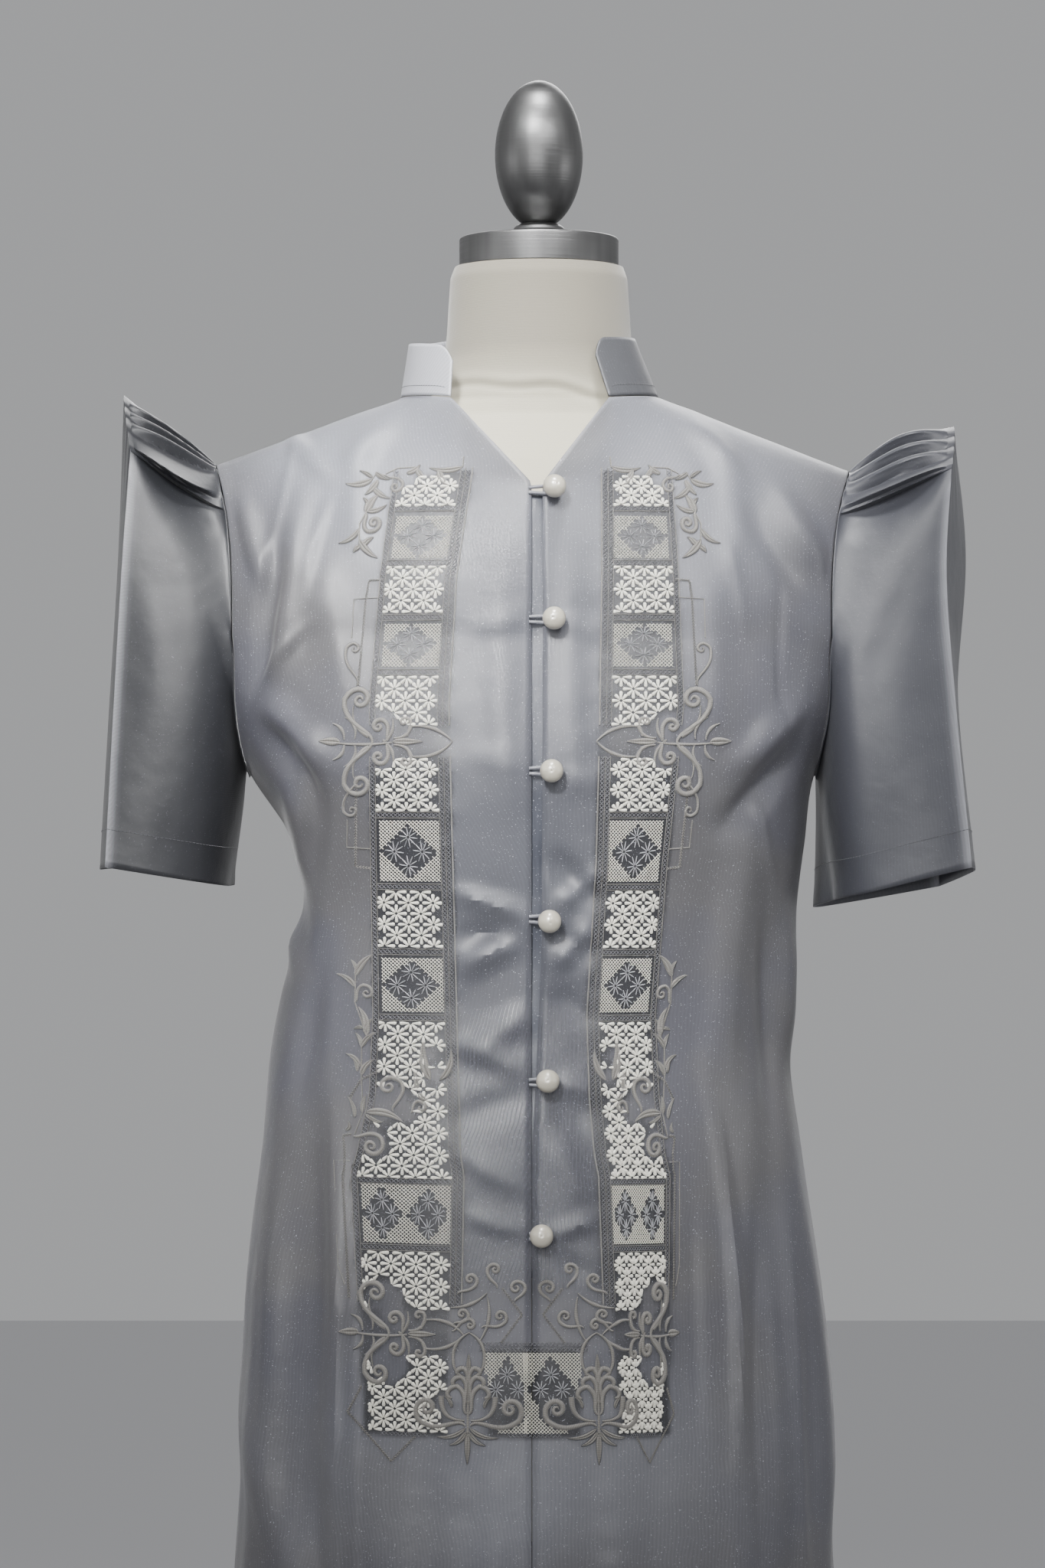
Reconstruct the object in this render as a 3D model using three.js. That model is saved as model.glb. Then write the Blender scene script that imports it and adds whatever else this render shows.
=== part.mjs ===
// A filipiniana dress of sheer organza on a limbless dress form with a stand.
// The dress has two front panels, a back, a split stand collar, pleated butterfly sleeves,
// a strip behind the front opening, and pearl buttons in cloth loops.
// Millimetres, +Z up, the front faces -Y, and the origin is on the floor under the stand.
// The wearer's right is at -X and the wearer's left at +X.
import * as THREE from "three";

// Driving sizes of the dress.
const NECK_POINT_HEIGHT = 1353; // where the shoulder seam meets the collar
const DRESS_LENGTH = 953; // from the neck point straight down to the hem
const CHEST_DROP = 153; // from the neck point to the widest line of the armhole
const ARMPIT_DROP = 88; // from that line to the underarm point
const CLOTH = 1.2; // thickness of a cloth wall
const SEAM = 0.4; // gap between two pieces that are sewn together
const ARMHOLE_SEAM = 0.8; // gap between a sleeve and its armhole
const HEM = NECK_POINT_HEIGHT - DRESS_LENGTH;
const CHEST = NECK_POINT_HEIGHT - CHEST_DROP;
const ARMPIT = CHEST - ARMPIT_DROP;
const QUARTER = Math.PI / 2;

// The body's sections from the hem up: reach to the wearer's right and left, depth in front and behind.
const BODY = [
  { z: 400, right: 203, left: 199, front: 150, back: 138 },
  { z: 520, right: 199, left: 193, front: 146, back: 134 },
  { z: 619, right: 194, left: 187, front: 142, back: 130 },
  { z: 680, right: 190, left: 189, front: 140, back: 128 },
  { z: 776, right: 187, left: 181, front: 134, back: 124 },
  { z: 874, right: 177, left: 168, front: 122, back: 112 },
  { z: 933, right: 172, left: 159, front: 112, back: 100 },
  { z: 972, right: 165, left: 161, front: 109, back: 95 },
  { z: 1031, right: 150, left: 165, front: 113, back: 92 },
  { z: 1070, right: 157, left: 170, front: 119, back: 95 },
  { z: 1112, right: 184, left: 176, front: 124, back: 100 },
  { z: 1156, right: 206, left: 196, front: 119, back: 104 },
  { z: 1200, right: 220, left: 209, front: 110, back: 106 },
];
const ROUNDNESS = 2.3; // power of the body's superellipse sections

// Standing folds that open towards the hem. Angles are from the centre front towards the wearer's left.
const FOLDS = [
  { angle: -66, spread: 7, height: 4, starts: 1000, full: 700 },
  { angle: -53, spread: 6, height: -5, starts: 990, full: 690 },
  { angle: -40, spread: 7, height: 5, starts: 980, full: 640 },
  { angle: -18, spread: 9, height: 3, starts: 720, full: 430 },
  { angle: 4, spread: 9, height: 3, starts: 700, full: 430 },
  { angle: 25, spread: 8, height: -3, starts: 800, full: 450 },
  { angle: 44, spread: 7, height: 4, starts: 960, full: 650 },
  { angle: 57, spread: 6, height: -4, starts: 970, full: 680 },
  { angle: 70, spread: 7, height: 4, starts: 990, full: 700 },
  { angle: 104, spread: 8, height: -4, starts: 1000, full: 680 },
  { angle: 124, spread: 9, height: 5, starts: 960, full: 600 },
  { angle: 146, spread: 9, height: -4, starts: 940, full: 560 },
  { angle: 168, spread: 10, height: 5, starts: 980, full: 620 },
  { angle: 192, spread: 10, height: -4, starts: 930, full: 560 },
  { angle: 214, spread: 9, height: 5, starts: 970, full: 640 },
  { angle: 236, spread: 9, height: -4, starts: 950, full: 600 },
  { angle: 256, spread: 8, height: 4, starts: 990, full: 690 },
];

// Slanting drapes on the front, from a high end to a low end.
const DRAPES = [
  { topX: -150, topZ: 1300, endX: -182, endZ: 1215, spread: 9, height: 3 },
  { topX: -132, topZ: 1262, endX: -168, endZ: 1165, spread: 11, height: 3.5 },
  { topX: -126, topZ: 1180, endX: -152, endZ: 1070, spread: 12, height: 3.5 },
  { topX: 150, topZ: 1290, endX: 170, endZ: 1190, spread: 11, height: 3 },
  { topX: 136, topZ: 1180, endX: 152, endZ: 1070, spread: 12, height: 3 },
];

// Neckline and shoulders.
const NECK_SHIFT = -6; // the collar sits a little towards the wearer's right
const NECK_HALF_WIDTH = 83;
const NECK_FRONT_DEPTH = 77.7;
const NECK_BACK_DEPTH = 66;
const NECK_BACK_RISE = 11;
const COLLAR_END_HALF_WIDTH = 50; // from the neck's middle to each front end of the collar
const COLLAR_END_DEPTH = 62;
const COLLAR_END_DROP = 4;
const V_POINT_HEIGHT = 1293;
const SHOULDER_TIP = {
  right: { x: 206, z: 1311 },
  left: { x: 198, z: 1307 },
};
const ARMHOLE_DEPTH = { front: 62, back: 64 };

// The front opening: the edges of both panels.
const OPENING = [
  { z: 400, right: -5, left: -4.6 },
  { z: 880, right: -5, left: -4.6 },
  { z: 1000, right: -5, left: 1.2 },
  { z: 1200, right: -5, left: 2 },
  { z: 1293, right: -5, left: 2 },
];

// The raised bands of embroidery down each front panel, and the strip that joins them below.
const BAND = [
  { z: 700, rightInner: -52, rightOuter: -108, leftInner: 37, leftOuter: 79 },
  { z: 770, rightInner: -50, rightOuter: -114, leftInner: 36, leftOuter: 80 },
  { z: 880, rightInner: -54, rightOuter: -112, leftInner: 35, leftOuter: 80 },
  { z: 920, rightInner: -56, rightOuter: -99, leftInner: 34, leftOuter: 72 },
  { z: 1060, rightInner: -58, rightOuter: -100, leftInner: 38, leftOuter: 78 },
  { z: 1200, rightInner: -54, rightOuter: -96, leftInner: 40, leftOuter: 82 },
];
const BAND_RISE = 0.8;
const BAND_EDGE = 1.5; // width of the slope at each side of a band
const BAND_LOW = 716;
const BAND_STRIP_TOP = 786;

// Buttons from the top down.
const BUTTONS = [
  { x: 7, z: 1288 },
  { x: 10, z: 1208 },
  { x: 7.5, z: 1115 },
  { x: 5.6, z: 1024 },
  { x: 5.2, z: 924 },
  { x: 1.2, z: 831 },
];
const BUTTON_LIFT = 0.8; // how far off the front a pearl's shank and its loop lie
const PEARL_RADIUS = 7.2;
const SHANK_RADIUS = 1.6;
const LOOP_WIDTH = 2;
const LOOP_THICK = 1;
const LOOP_HALF_GAP = 2.2; // half the space between the loop's two cords
const LOOP_TAPER = 0.8; // how much nearer the cords lie where they leave the edge
const STRIP_HALF_WIDTH = 17;
const STRIP_LOW = 806;

// Collar.
const COLLAR_HEIGHT = { right: 32, back: 37, left: 37 };
const COLLAR_TOP_SHIFT = -11;
const COLLAR_TOP_HALF_WIDTH = 72.4;
const COLLAR_TOP_DEPTH = { front: 71, back: 64 };

const smooth = THREE.MathUtils.smoothstep;
const lerp = THREE.MathUtils.lerp;
const point = (x, y, z) => new THREE.Vector3(x, y, z);
const sideName = (side) => (side < 0 ? "right" : "left");

// A table's column at a height: a smooth curve through the rows.
function column(table, name, height) {
  const last = table.length - 1;
  const z = THREE.MathUtils.clamp(height, table[0].z, table[last].z);
  let i = 0;
  while (i < last - 1 && z > table[i + 1].z) i++;
  const slope = (k) => {
    const below = table[Math.max(k - 1, 0)];
    const above = table[Math.min(k + 1, last)];
    return (above[name] - below[name]) / (above.z - below.z);
  };
  const span = table[i + 1].z - table[i].z;
  const t = (z - table[i].z) / span;
  const from = table[i][name] * (2 * t ** 3 - 3 * t ** 2 + 1) + slope(i) * span * (t ** 3 - 2 * t ** 2 + t);
  const to = table[i + 1][name] * (3 * t ** 2 - 2 * t ** 3) + slope(i + 1) * span * (t ** 3 - t ** 2);
  return from + to;
}

// A table's column at a height by straight lines, for edges that are cut straight.
function straight(table, name, height) {
  let i = 0;
  while (i < table.length - 2 && height > table[i + 1].z) i++;
  const t = THREE.MathUtils.clamp((height - table[i].z) / (table[i + 1].z - table[i].z), 0, 1);
  return lerp(table[i][name], table[i + 1][name], t);
}

// How far the standing folds push the cloth out at an angle and a height.
function foldHeight(angle, z) {
  const degrees = THREE.MathUtils.euclideanModulo(THREE.MathUtils.radToDeg(angle) + 90, 360) - 90;
  return FOLDS.reduce((sum, fold) => {
    const open = smooth(fold.starts - z, 0, fold.starts - fold.full);
    return sum + fold.height * open * Math.exp(-(((degrees - fold.angle) / fold.spread) ** 2));
  }, 0);
}

// How far the slanting drapes push the front out at a place seen from the front.
function drapeHeight(x, z) {
  return DRAPES.reduce((sum, drape) => {
    const run = { x: drape.endX - drape.topX, z: drape.endZ - drape.topZ };
    const length = Math.hypot(run.x, run.z);
    const along = ((x - drape.topX) * run.x + (z - drape.topZ) * run.z) / length ** 2;
    const across = ((x - drape.topX) * run.z - (z - drape.topZ) * run.x) / length;
    const ends = Math.exp(-(((along - 0.5) / 0.45) ** 4));
    return sum + drape.height * ends * Math.exp(-((across / drape.spread) ** 2));
  }, 0);
}

// A point of the body at or below the chest line. Angle 0 is the centre front, a quarter turn the
// wearer's left side.
function bodyPoint(angle, z) {
  const s = Math.sin(angle);
  const c = Math.cos(angle);
  const reach = column(BODY, sideName(s), z);
  const depth = column(BODY, c > 0 ? "front" : "back", z);
  const x = Math.sign(s) * reach * Math.abs(s) ** (2 / ROUNDNESS);
  const y = -Math.sign(c) * depth * Math.abs(c) ** (2 / ROUNDNESS);
  const grown = 1 + foldHeight(angle, z) / Math.hypot(x, y);
  const drape = c > 0 ? drapeHeight(x, z) * c ** 0.5 : 0;
  return point(x * grown, y * grown - drape, z);
}

// The angle at which the front of the body's section has a given x.
function angleOf(x, z) {
  const share = Math.min(Math.abs(x) / column(BODY, sideName(x), z), 1);
  return Math.sign(x) * Math.asin(share ** (ROUNDNESS / 2));
}

// The angle of the armhole's edge at a height between the armpit and the chest line.
function armholeAngle(face, z) {
  const y = ARMHOLE_DEPTH[face] * Math.sqrt(Math.max(0, 1 - ((CHEST - z) / ARMPIT_DROP) ** 2));
  return Math.acos((y / column(BODY, face, z)) ** (ROUNDNESS / 2));
}

// The armhole's edge. Turn is a quarter at the shoulder tip, 0 at the chest line and minus a quarter
// at the armpit.
function armholePoint(side, face, turn) {
  const name = sideName(side);
  const away = face === "front" ? -1 : 1;
  const tip = SHOULDER_TIP[name];
  const y = away * ARMHOLE_DEPTH[face] * Math.cos(turn);
  if (turn <= 0) {
    const z = CHEST + ARMPIT_DROP * Math.sin(turn);
    const rest = 1 - (Math.abs(y) / column(BODY, face, z)) ** ROUNDNESS;
    return point(side * column(BODY, name, z) * rest ** (1 / ROUNDNESS), y, z);
  }
  const chest = armholePoint(side, face, 0);
  const x = lerp(Math.abs(chest.x), tip.x, Math.sin(turn) ** 3);
  return point(side * x, y, CHEST + (tip.z - CHEST) * Math.sin(turn));
}

// The neckline seen from above, as an ellipse. Angle 0 is the centre front.
function necklinePoint(angle) {
  const c = Math.cos(angle);
  const fromSide = (1 - Math.abs(Math.sin(angle))) / (1 - COLLAR_END_HALF_WIDTH / NECK_HALF_WIDTH);
  const rise = c > 0 ? -COLLAR_END_DROP * fromSide : NECK_BACK_RISE * c ** 2;
  const depth = c > 0 ? NECK_FRONT_DEPTH : NECK_BACK_DEPTH;
  return point(NECK_SHIFT + NECK_HALF_WIDTH * Math.sin(angle), -depth * c, NECK_POINT_HEIGHT + rise);
}
const COLLAR_END_ANGLE = Math.asin(COLLAR_END_HALF_WIDTH / NECK_HALF_WIDTH);

// The top edge of a panel: the neckline first and then the shoulder seam. Share runs from 0 to 1.
const NECK_SHARE = { front: 0.25, back: 0.42 };
function topEdge(side, face, share) {
  const from = face === "front" ? COLLAR_END_ANGLE : Math.PI;
  const neckShare = NECK_SHARE[face];
  if (share <= neckShare) return necklinePoint(side * lerp(from, QUARTER, share / neckShare));
  const tip = SHOULDER_TIP[sideName(side)];
  const neck = necklinePoint(side * QUARTER);
  return neck.lerp(point(side * tip.x, 0, tip.z), (share - neckShare) / (1 - neckShare));
}

// A point between the chest line and the top edge. Each column is a quarter ellipse from its chest point up.
function yokePoint(side, face, bottom, share, up) {
  const turn = up * QUARTER;
  const top = topEdge(side, face, share);
  const z = CHEST + (top.z - CHEST) * Math.sin(turn);
  const y = top.y + (bottom.y - top.y) * Math.cos(turn);
  const outer = armholePoint(side, face, turn).x;
  const chestOuter = armholePoint(side, face, 0).x;
  let inner = 0;
  let topInner = NECK_SHIFT;
  let chestInner = 0;
  if (face === "front") {
    const end = topEdge(side, face, 0);
    chestInner = straight(OPENING, sideName(side), CHEST);
    topInner = end.x;
    const height = CHEST + (end.z - CHEST) * Math.sin(turn);
    inner = lerp(chestInner, topInner, Math.max(0, height - V_POINT_HEIGHT) / (end.z - V_POINT_HEIGHT));
  } else {
    inner = lerp(chestInner, topInner, up);
  }
  const chestShare = (bottom.x - chestInner) / (chestOuter - chestInner);
  const topShare = (top.x - topInner) / (side * SHOULDER_TIP[sideName(side)].x - topInner);
  const x = lerp(inner, outer, lerp(chestShare, topShare, up ** 1.5));
  return point(x, y - (face === "front" ? drapeHeight(x, z) * Math.cos(turn) : 0), z);
}

// Unit normals of a grid of points, pointing to the right hand of its columns and rows.
function gridNormals(grid, closed) {
  const rows = grid.length;
  const cols = grid[0].length;
  return grid.map((row, i) =>
    row.map((_, j) => {
      const before = closed ? row[(j + cols - 1) % cols] : row[Math.max(j - 1, 0)];
      const after = closed ? row[(j + 1) % cols] : row[Math.min(j + 1, cols - 1)];
      const along = after.clone().sub(before);
      const up = grid[Math.min(i + 1, rows - 1)][j].clone().sub(grid[Math.max(i - 1, 0)][j]);
      return along.cross(up).normalize();
    }),
  );
}

// A closed wall of cloth: the grid is its outer face and the inner face lies one thickness behind.
function wallGeometry(grid, { closed = false, rise = () => 0, turnNormal = (normal) => normal } = {}) {
  const rows = grid.length;
  const cols = grid[0].length;
  const normals = gridNormals(grid, closed);
  const outer = [];
  const inner = [];
  grid.forEach((row, i) =>
    row.forEach((p, j) => {
      const normal = turnNormal(normals[i][j], i, j);
      outer.push(p.clone().addScaledVector(normal, rise(p, i)));
      inner.push(p.clone().addScaledVector(normal, -CLOTH));
    }),
  );
  const skin = rows * cols;
  const index = [];
  const quad = (a, b, c, d) => index.push(a, b, c, a, c, d);
  const spans = closed ? cols : cols - 1;
  for (let i = 0; i < rows - 1; i++) {
    for (let j = 0; j < spans; j++) {
      const next = (j + 1) % cols;
      const a = i * cols + j;
      const b = i * cols + next;
      const c = a + cols;
      const d = b + cols;
      quad(a, b, d, c);
      quad(skin + a, skin + c, skin + d, skin + b);
    }
    if (!closed) {
      const first = i * cols;
      const last = first + cols - 1;
      quad(first, first + cols, skin + first + cols, skin + first);
      quad(last + cols, last, skin + last, skin + last + cols);
    }
  }
  for (let j = 0; j < spans; j++) {
    const next = (j + 1) % cols;
    const top = (rows - 1) * cols;
    quad(next, j, skin + j, skin + next);
    quad(top + j, top + next, skin + top + next, skin + top + j);
  }
  const geometry = new THREE.BufferGeometry().setFromPoints([...outer, ...inner]);
  return geometry.setIndex(index);
}

const MATERIALS = {
  organza: new THREE.MeshStandardMaterial({ color: 0x9a9da8, roughness: 0.55 }),
  sleeve: new THREE.MeshStandardMaterial({ color: 0x8c8f9c, roughness: 0.5 }),
  pearl: new THREE.MeshStandardMaterial({ color: 0xeeece4, roughness: 0.2 }),
  jersey: new THREE.MeshStandardMaterial({ color: 0xd9d4c7, roughness: 0.9 }),
  metal: new THREE.MeshStandardMaterial({ color: 0xa9a9aa, roughness: 0.35, metalness: 1 }),
};

function piece(name, geometry, material) {
  const mesh = new THREE.Mesh(geometry, material);
  mesh.name = name;
  return mesh;
}

// Heights of every panel's rows from the hem to the chest line, closer at the armhole and the band's ends.
const PANEL_ROWS = [
  HEM, 440, 480, 520, 560, 600, 640, 680, BAND_LOW - 2, BAND_LOW, 750, BAND_STRIP_TOP, BAND_STRIP_TOP + 2,
  820, 860, 900, 935, 970, 1005, 1040, 1075, 1096, ARMPIT, 1116, 1123, 1136, 1154, 1176, CHEST,
];
const YOKE_ROWS = 7;
const OPENING_COLUMNS = 3;
const BAND_COLUMNS = 3;
const SIDE_COLUMNS = 8;
const BACK_COLUMNS = 11;

// The x of a band's edges at a height, inner edge first.
function bandEdges(side, z) {
  const height = Math.min(z, CHEST);
  return ["Inner", "Outer"].map((edge) => straight(BAND, sideName(side) + edge, height));
}

// Angles of a front panel's columns at a height: from the opening over the band to the side or the armhole.
function frontAngles(side, z) {
  const [bandInner, bandOuter] = bandEdges(side, z);
  const edge = side * BAND_EDGE;
  const inner = straight(OPENING, sideName(side), z);
  const stops = [];
  for (let k = 0; k < OPENING_COLUMNS; k++) {
    stops.push(lerp(inner, bandInner - edge, k / (OPENING_COLUMNS - 1)));
  }
  for (let k = 0; k < BAND_COLUMNS; k++) {
    stops.push(lerp(bandInner, bandOuter, k / (BAND_COLUMNS - 1)));
  }
  stops.push(bandOuter + edge);
  const angles = stops.map((x) => angleOf(x, z));
  const from = angles.at(-1);
  const to = side * (z > ARMPIT ? armholeAngle("front", z) : QUARTER);
  for (let k = 1; k <= SIDE_COLUMNS; k++) angles.push(lerp(from, to, k / SIDE_COLUMNS));
  return angles;
}
const BAND_FIRST = OPENING_COLUMNS;
const BAND_LAST = OPENING_COLUMNS + BAND_COLUMNS - 1;

// Half a panel from the centre outwards, then row by row up to the neckline and the shoulder seam.
function halfPanel(side, face, anglesAt) {
  const away = face === "front" ? -1 : 1;
  const grid = PANEL_ROWS.map((z) => anglesAt(z).map((angle) => bodyPoint(angle, z)));
  const chest = grid.at(-1);
  const shares = chest.map((p) => Math.abs(p.x - chest[0].x) / Math.abs(chest.at(-1).x - chest[0].x));
  for (let k = 1; k <= YOKE_ROWS; k++) {
    grid.push(chest.map((p, j) => yokePoint(side, face, p, shares[j], k / YOKE_ROWS)));
  }
  const shift = (away * SEAM) / 2;
  return grid.map((row) => row.map((p) => p.setY(p.y + shift)));
}

// The top edge of a panel is square: its thickness goes straight down there, so it stays on its own side.
const LEAST_RISE = 0.4;
const squareTop = (grid) => (normal, i) =>
  i < grid.length - 1 ? normal : point(0, 0, 1 / Math.max(normal.z, LEAST_RISE));

function frontPanel(side) {
  const grid = halfPanel(side, "front", (z) => frontAngles(side, z));
  const cols = grid[0].length;
  if (side < 0) grid.forEach((row) => row.reverse());
  // The band lifts the outer face between its two edges, and the strip below lifts it up to the opening.
  const raised = new Set(
    grid.flatMap((row) =>
      row.filter((p, j) => {
        const fromOpening = side < 0 ? cols - 1 - j : j;
        const inBand = fromOpening >= BAND_FIRST && fromOpening <= BAND_LAST;
        const inStrip = fromOpening <= BAND_LAST && p.z <= BAND_STRIP_TOP;
        return p.z >= BAND_LOW && p.z <= V_POINT_HEIGHT + 15 && (inBand || inStrip);
      }),
    ),
  );
  return wallGeometry(grid, { rise: (p) => (raised.has(p) ? BAND_RISE : 0), turnNormal: squareTop(grid) });
}

function backPanel() {
  const backAngles = (side) => (z) => {
    const edge = z > ARMPIT ? Math.PI - armholeAngle("back", z) : QUARTER;
    return Array.from({ length: BACK_COLUMNS + 1 }, (_, k) => side * lerp(Math.PI, edge, k / BACK_COLUMNS));
  };
  const leftHalf = halfPanel(1, "back", backAngles(1));
  const rightHalf = halfPanel(-1, "back", backAngles(-1));
  const grid = leftHalf.map((row, i) => [...row.reverse(), ...rightHalf[i].slice(1)]);
  return wallGeometry(grid, { turnNormal: squareTop(grid) });
}

// The strip behind the opening follows the panels one wall and one gap further in.
const STRIP_ROWS = [
  STRIP_LOW, 840, 880, 920, 960, 1000, 1040, 1080, 1120, 1160, CHEST, 1230, 1260, V_POINT_HEIGHT - 6,
];
function openingStrip() {
  const grid = STRIP_ROWS.map((z) =>
    [-1, -0.33, 0.33, 1].map((share) => {
      const x = share * STRIP_HALF_WIDTH;
      return point(x, frontDepth(x, z) + CLOTH + 3 * SEAM, z);
    }),
  );
  return wallGeometry(grid);
}

// The y of the front's outer face at a place seen from the front. Above the chest line it looks for
// the column that passes there.
const SEARCH_STEPS = 16;
function frontDepth(x, z) {
  if (z <= CHEST) return bodyPoint(angleOf(x, z), z).y;
  const side = x < 0 ? -1 : 1;
  const inner = straight(OPENING, sideName(side), CHEST);
  const outer = armholePoint(side, "front", 0).x;
  let low = 0;
  let high = 1;
  let found = point(0, 0, 0);
  for (let k = 0; k < SEARCH_STEPS; k++) {
    const share = (low + high) / 2;
    const bottom = bodyPoint(angleOf(lerp(inner, outer, share), CHEST), CHEST);
    const top = topEdge(side, "front", share);
    const up = Math.asin(Math.min(1, (z - CHEST) / (top.z - CHEST))) / QUARTER;
    found = yokePoint(side, "front", bottom, share, up);
    if (side * (found.x - x) < 0) low = share;
    else high = share;
  }
  return found.y;
}

// The collar stands in the neckline from one front end round the back to the other, leaning in.
const COLLAR_SPANS = 30;
const COLLAR_CORNER_SPANS = 3;
function collar() {
  const inset = SEAM;
  const lift = 2 * SEAM;
  const shares = [0, 0.4, 0.8, 1];
  const turns = Array.from({ length: COLLAR_SPANS + 1 }, (_, k) =>
    lerp(COLLAR_END_ANGLE, 2 * Math.PI - COLLAR_END_ANGLE, k / COLLAR_SPANS),
  );
  const cut = [0.62, 0.86, 0.96];
  const grid = shares.map((share) =>
    turns.map((turn, k) => {
      const base = necklinePoint(turn);
      const c = Math.cos(turn);
      const fromEnd = Math.min(k, COLLAR_SPANS - k);
      const height = lerp(
        COLLAR_HEIGHT.back,
        k < COLLAR_SPANS / 2 ? COLLAR_HEIGHT.left : COLLAR_HEIGHT.right,
        Math.abs(k / COLLAR_SPANS - 0.5) * 2,
      );
      const rounded = fromEnd < COLLAR_CORNER_SPANS ? cut[fromEnd] : 1;
      const up = share * rounded;
      const topDepth = c > 0 ? COLLAR_TOP_DEPTH.front : COLLAR_TOP_DEPTH.back;
      const baseDepth = c > 0 ? NECK_FRONT_DEPTH : NECK_BACK_DEPTH;
      const x = lerp(
        NECK_SHIFT + (NECK_HALF_WIDTH - inset) * Math.sin(turn),
        COLLAR_TOP_SHIFT + COLLAR_TOP_HALF_WIDTH * Math.sin(turn),
        up,
      );
      return point(x, -lerp(baseDepth - inset, topDepth, up) * c, base.z + lift + up * height);
    }),
  );
  return wallGeometry(grid);
}

// The sleeves, as rings from the armhole over the pleated roof to the crest and down to the cuff.
// Each ring has a crown, a pressed crease and an inner edge in front and behind, and an underarm point.
const SLEEVE_LINES = ["crown", "frontCrease", "frontInner", "under", "backInner", "backCrease"];
const LEFT_SLEEVE = [
  { crown: [198, 0, 1307], frontCrease: [193, -34, 1277], frontInner: [183, -62, 1200],
    under: [176, 0, 1112], backInner: [183, 64, 1200], backCrease: [193, 36, 1277] },
  { crown: [227, 1, 1327], frontCrease: [225, -45, 1291], frontInner: [185, -67, 1186],
    under: [177.5, 0, 1105], backInner: [185, 68, 1186], backCrease: [226, 46, 1290] },
  { crown: [265, 3, 1336], frontCrease: [258, -53, 1305], frontInner: [187, -70, 1168],
    under: [179, 0, 1097], backInner: [185, 71, 1168], backCrease: [259, 54, 1301] },
  { crown: [273, 5, 1255], frontCrease: [254, -60, 1240], frontInner: [190, -70, 1138],
    under: [181, 0, 1082], backInner: [184, 71, 1136], backCrease: [257, 62, 1240] },
  { crown: [268, 7, 1155], frontCrease: [259, -66, 1160], frontInner: [195, -67, 1092],
    under: [184, 0, 1062], backInner: [182, 68, 1086], backCrease: [259, 67, 1152] },
  { crown: [279, 9, 1051], frontCrease: [269, -70, 1055], frontInner: [202, -60, 1038],
    under: [189, 0, 1033], backInner: [180, 58, 1026], backCrease: [262, 64, 1040] },
];
const RIGHT_SLEEVE = [
  { crown: [206, 0, 1311], frontCrease: [203, -34, 1280], frontInner: [192, -62, 1200],
    under: [184, 0, 1112], backInner: [192, 64, 1200], backCrease: [203, 36, 1280] },
  { crown: [235, 2, 1332], frontCrease: [230, -46, 1298], frontInner: [194, -67, 1187],
    under: [185.5, 0, 1105], backInner: [194, 68, 1187], backCrease: [233, 44, 1300] },
  { crown: [265, 2, 1356], frontCrease: [256, -50, 1316], frontInner: [196, -70, 1170],
    under: [187, 0, 1098], backInner: [195, 71, 1170], backCrease: [261, 42, 1325] },
  { crown: [269, 5, 1255], frontCrease: [260, -60, 1250], frontInner: [199, -70, 1140],
    under: [189, 0, 1085], backInner: [197, 71, 1140], backCrease: [262, 60, 1250] },
  { crown: [275, 7, 1155], frontCrease: [265, -66, 1155], frontInner: [204, -67, 1095],
    under: [193, 0, 1066], backInner: [200, 68, 1094], backCrease: [266, 66, 1155] },
  { crown: [281, 9, 1052], frontCrease: [270, -70, 1055], frontInner: [209, -60, 1045],
    under: [199, 0, 1042], backInner: [203, 58, 1044], backCrease: [270, 64, 1052] },
];
const CREST = 2; // the ring where the roof turns down
const ROOF_RINGS = 6;
const DROP_RINGS = 7;
const PLEATS = 4; // on each half of a roof
const SIDE_SPANS = [2 * PLEATS, 5, 3, 3, 5, 2 * PLEATS];
const SIDE_BULGE = [1.5, 5, 8, 8, 5, 1.5];
const PLEAT_HEIGHT = { seam: 0.9, swell: 1.4, crest: 2.1 };
const PLEAT_VALLEY = 0.4; // depth of a pleat's valley as a share of its ridge
const CREASE_TURN = 0.8; // where the pleats end on the armhole, as its turn in radians

// A smooth curve through some rings' points for one line, at a share of the way.
function alongSleeve(rings, line, share) {
  const curve = new THREE.CatmullRomCurve3(rings.map((ring) => point(...ring[line])), false, "centripetal");
  return curve.getPoint(share);
}

// The armhole's turn at each place of a ring, so that the first ring lies on the armhole.
function armholeTurn(sideIndex, t) {
  const stops = [QUARTER, CREASE_TURN, 0, -QUARTER, 0, CREASE_TURN, QUARTER];
  return lerp(stops[sideIndex], stops[sideIndex + 1], t);
}

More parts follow.
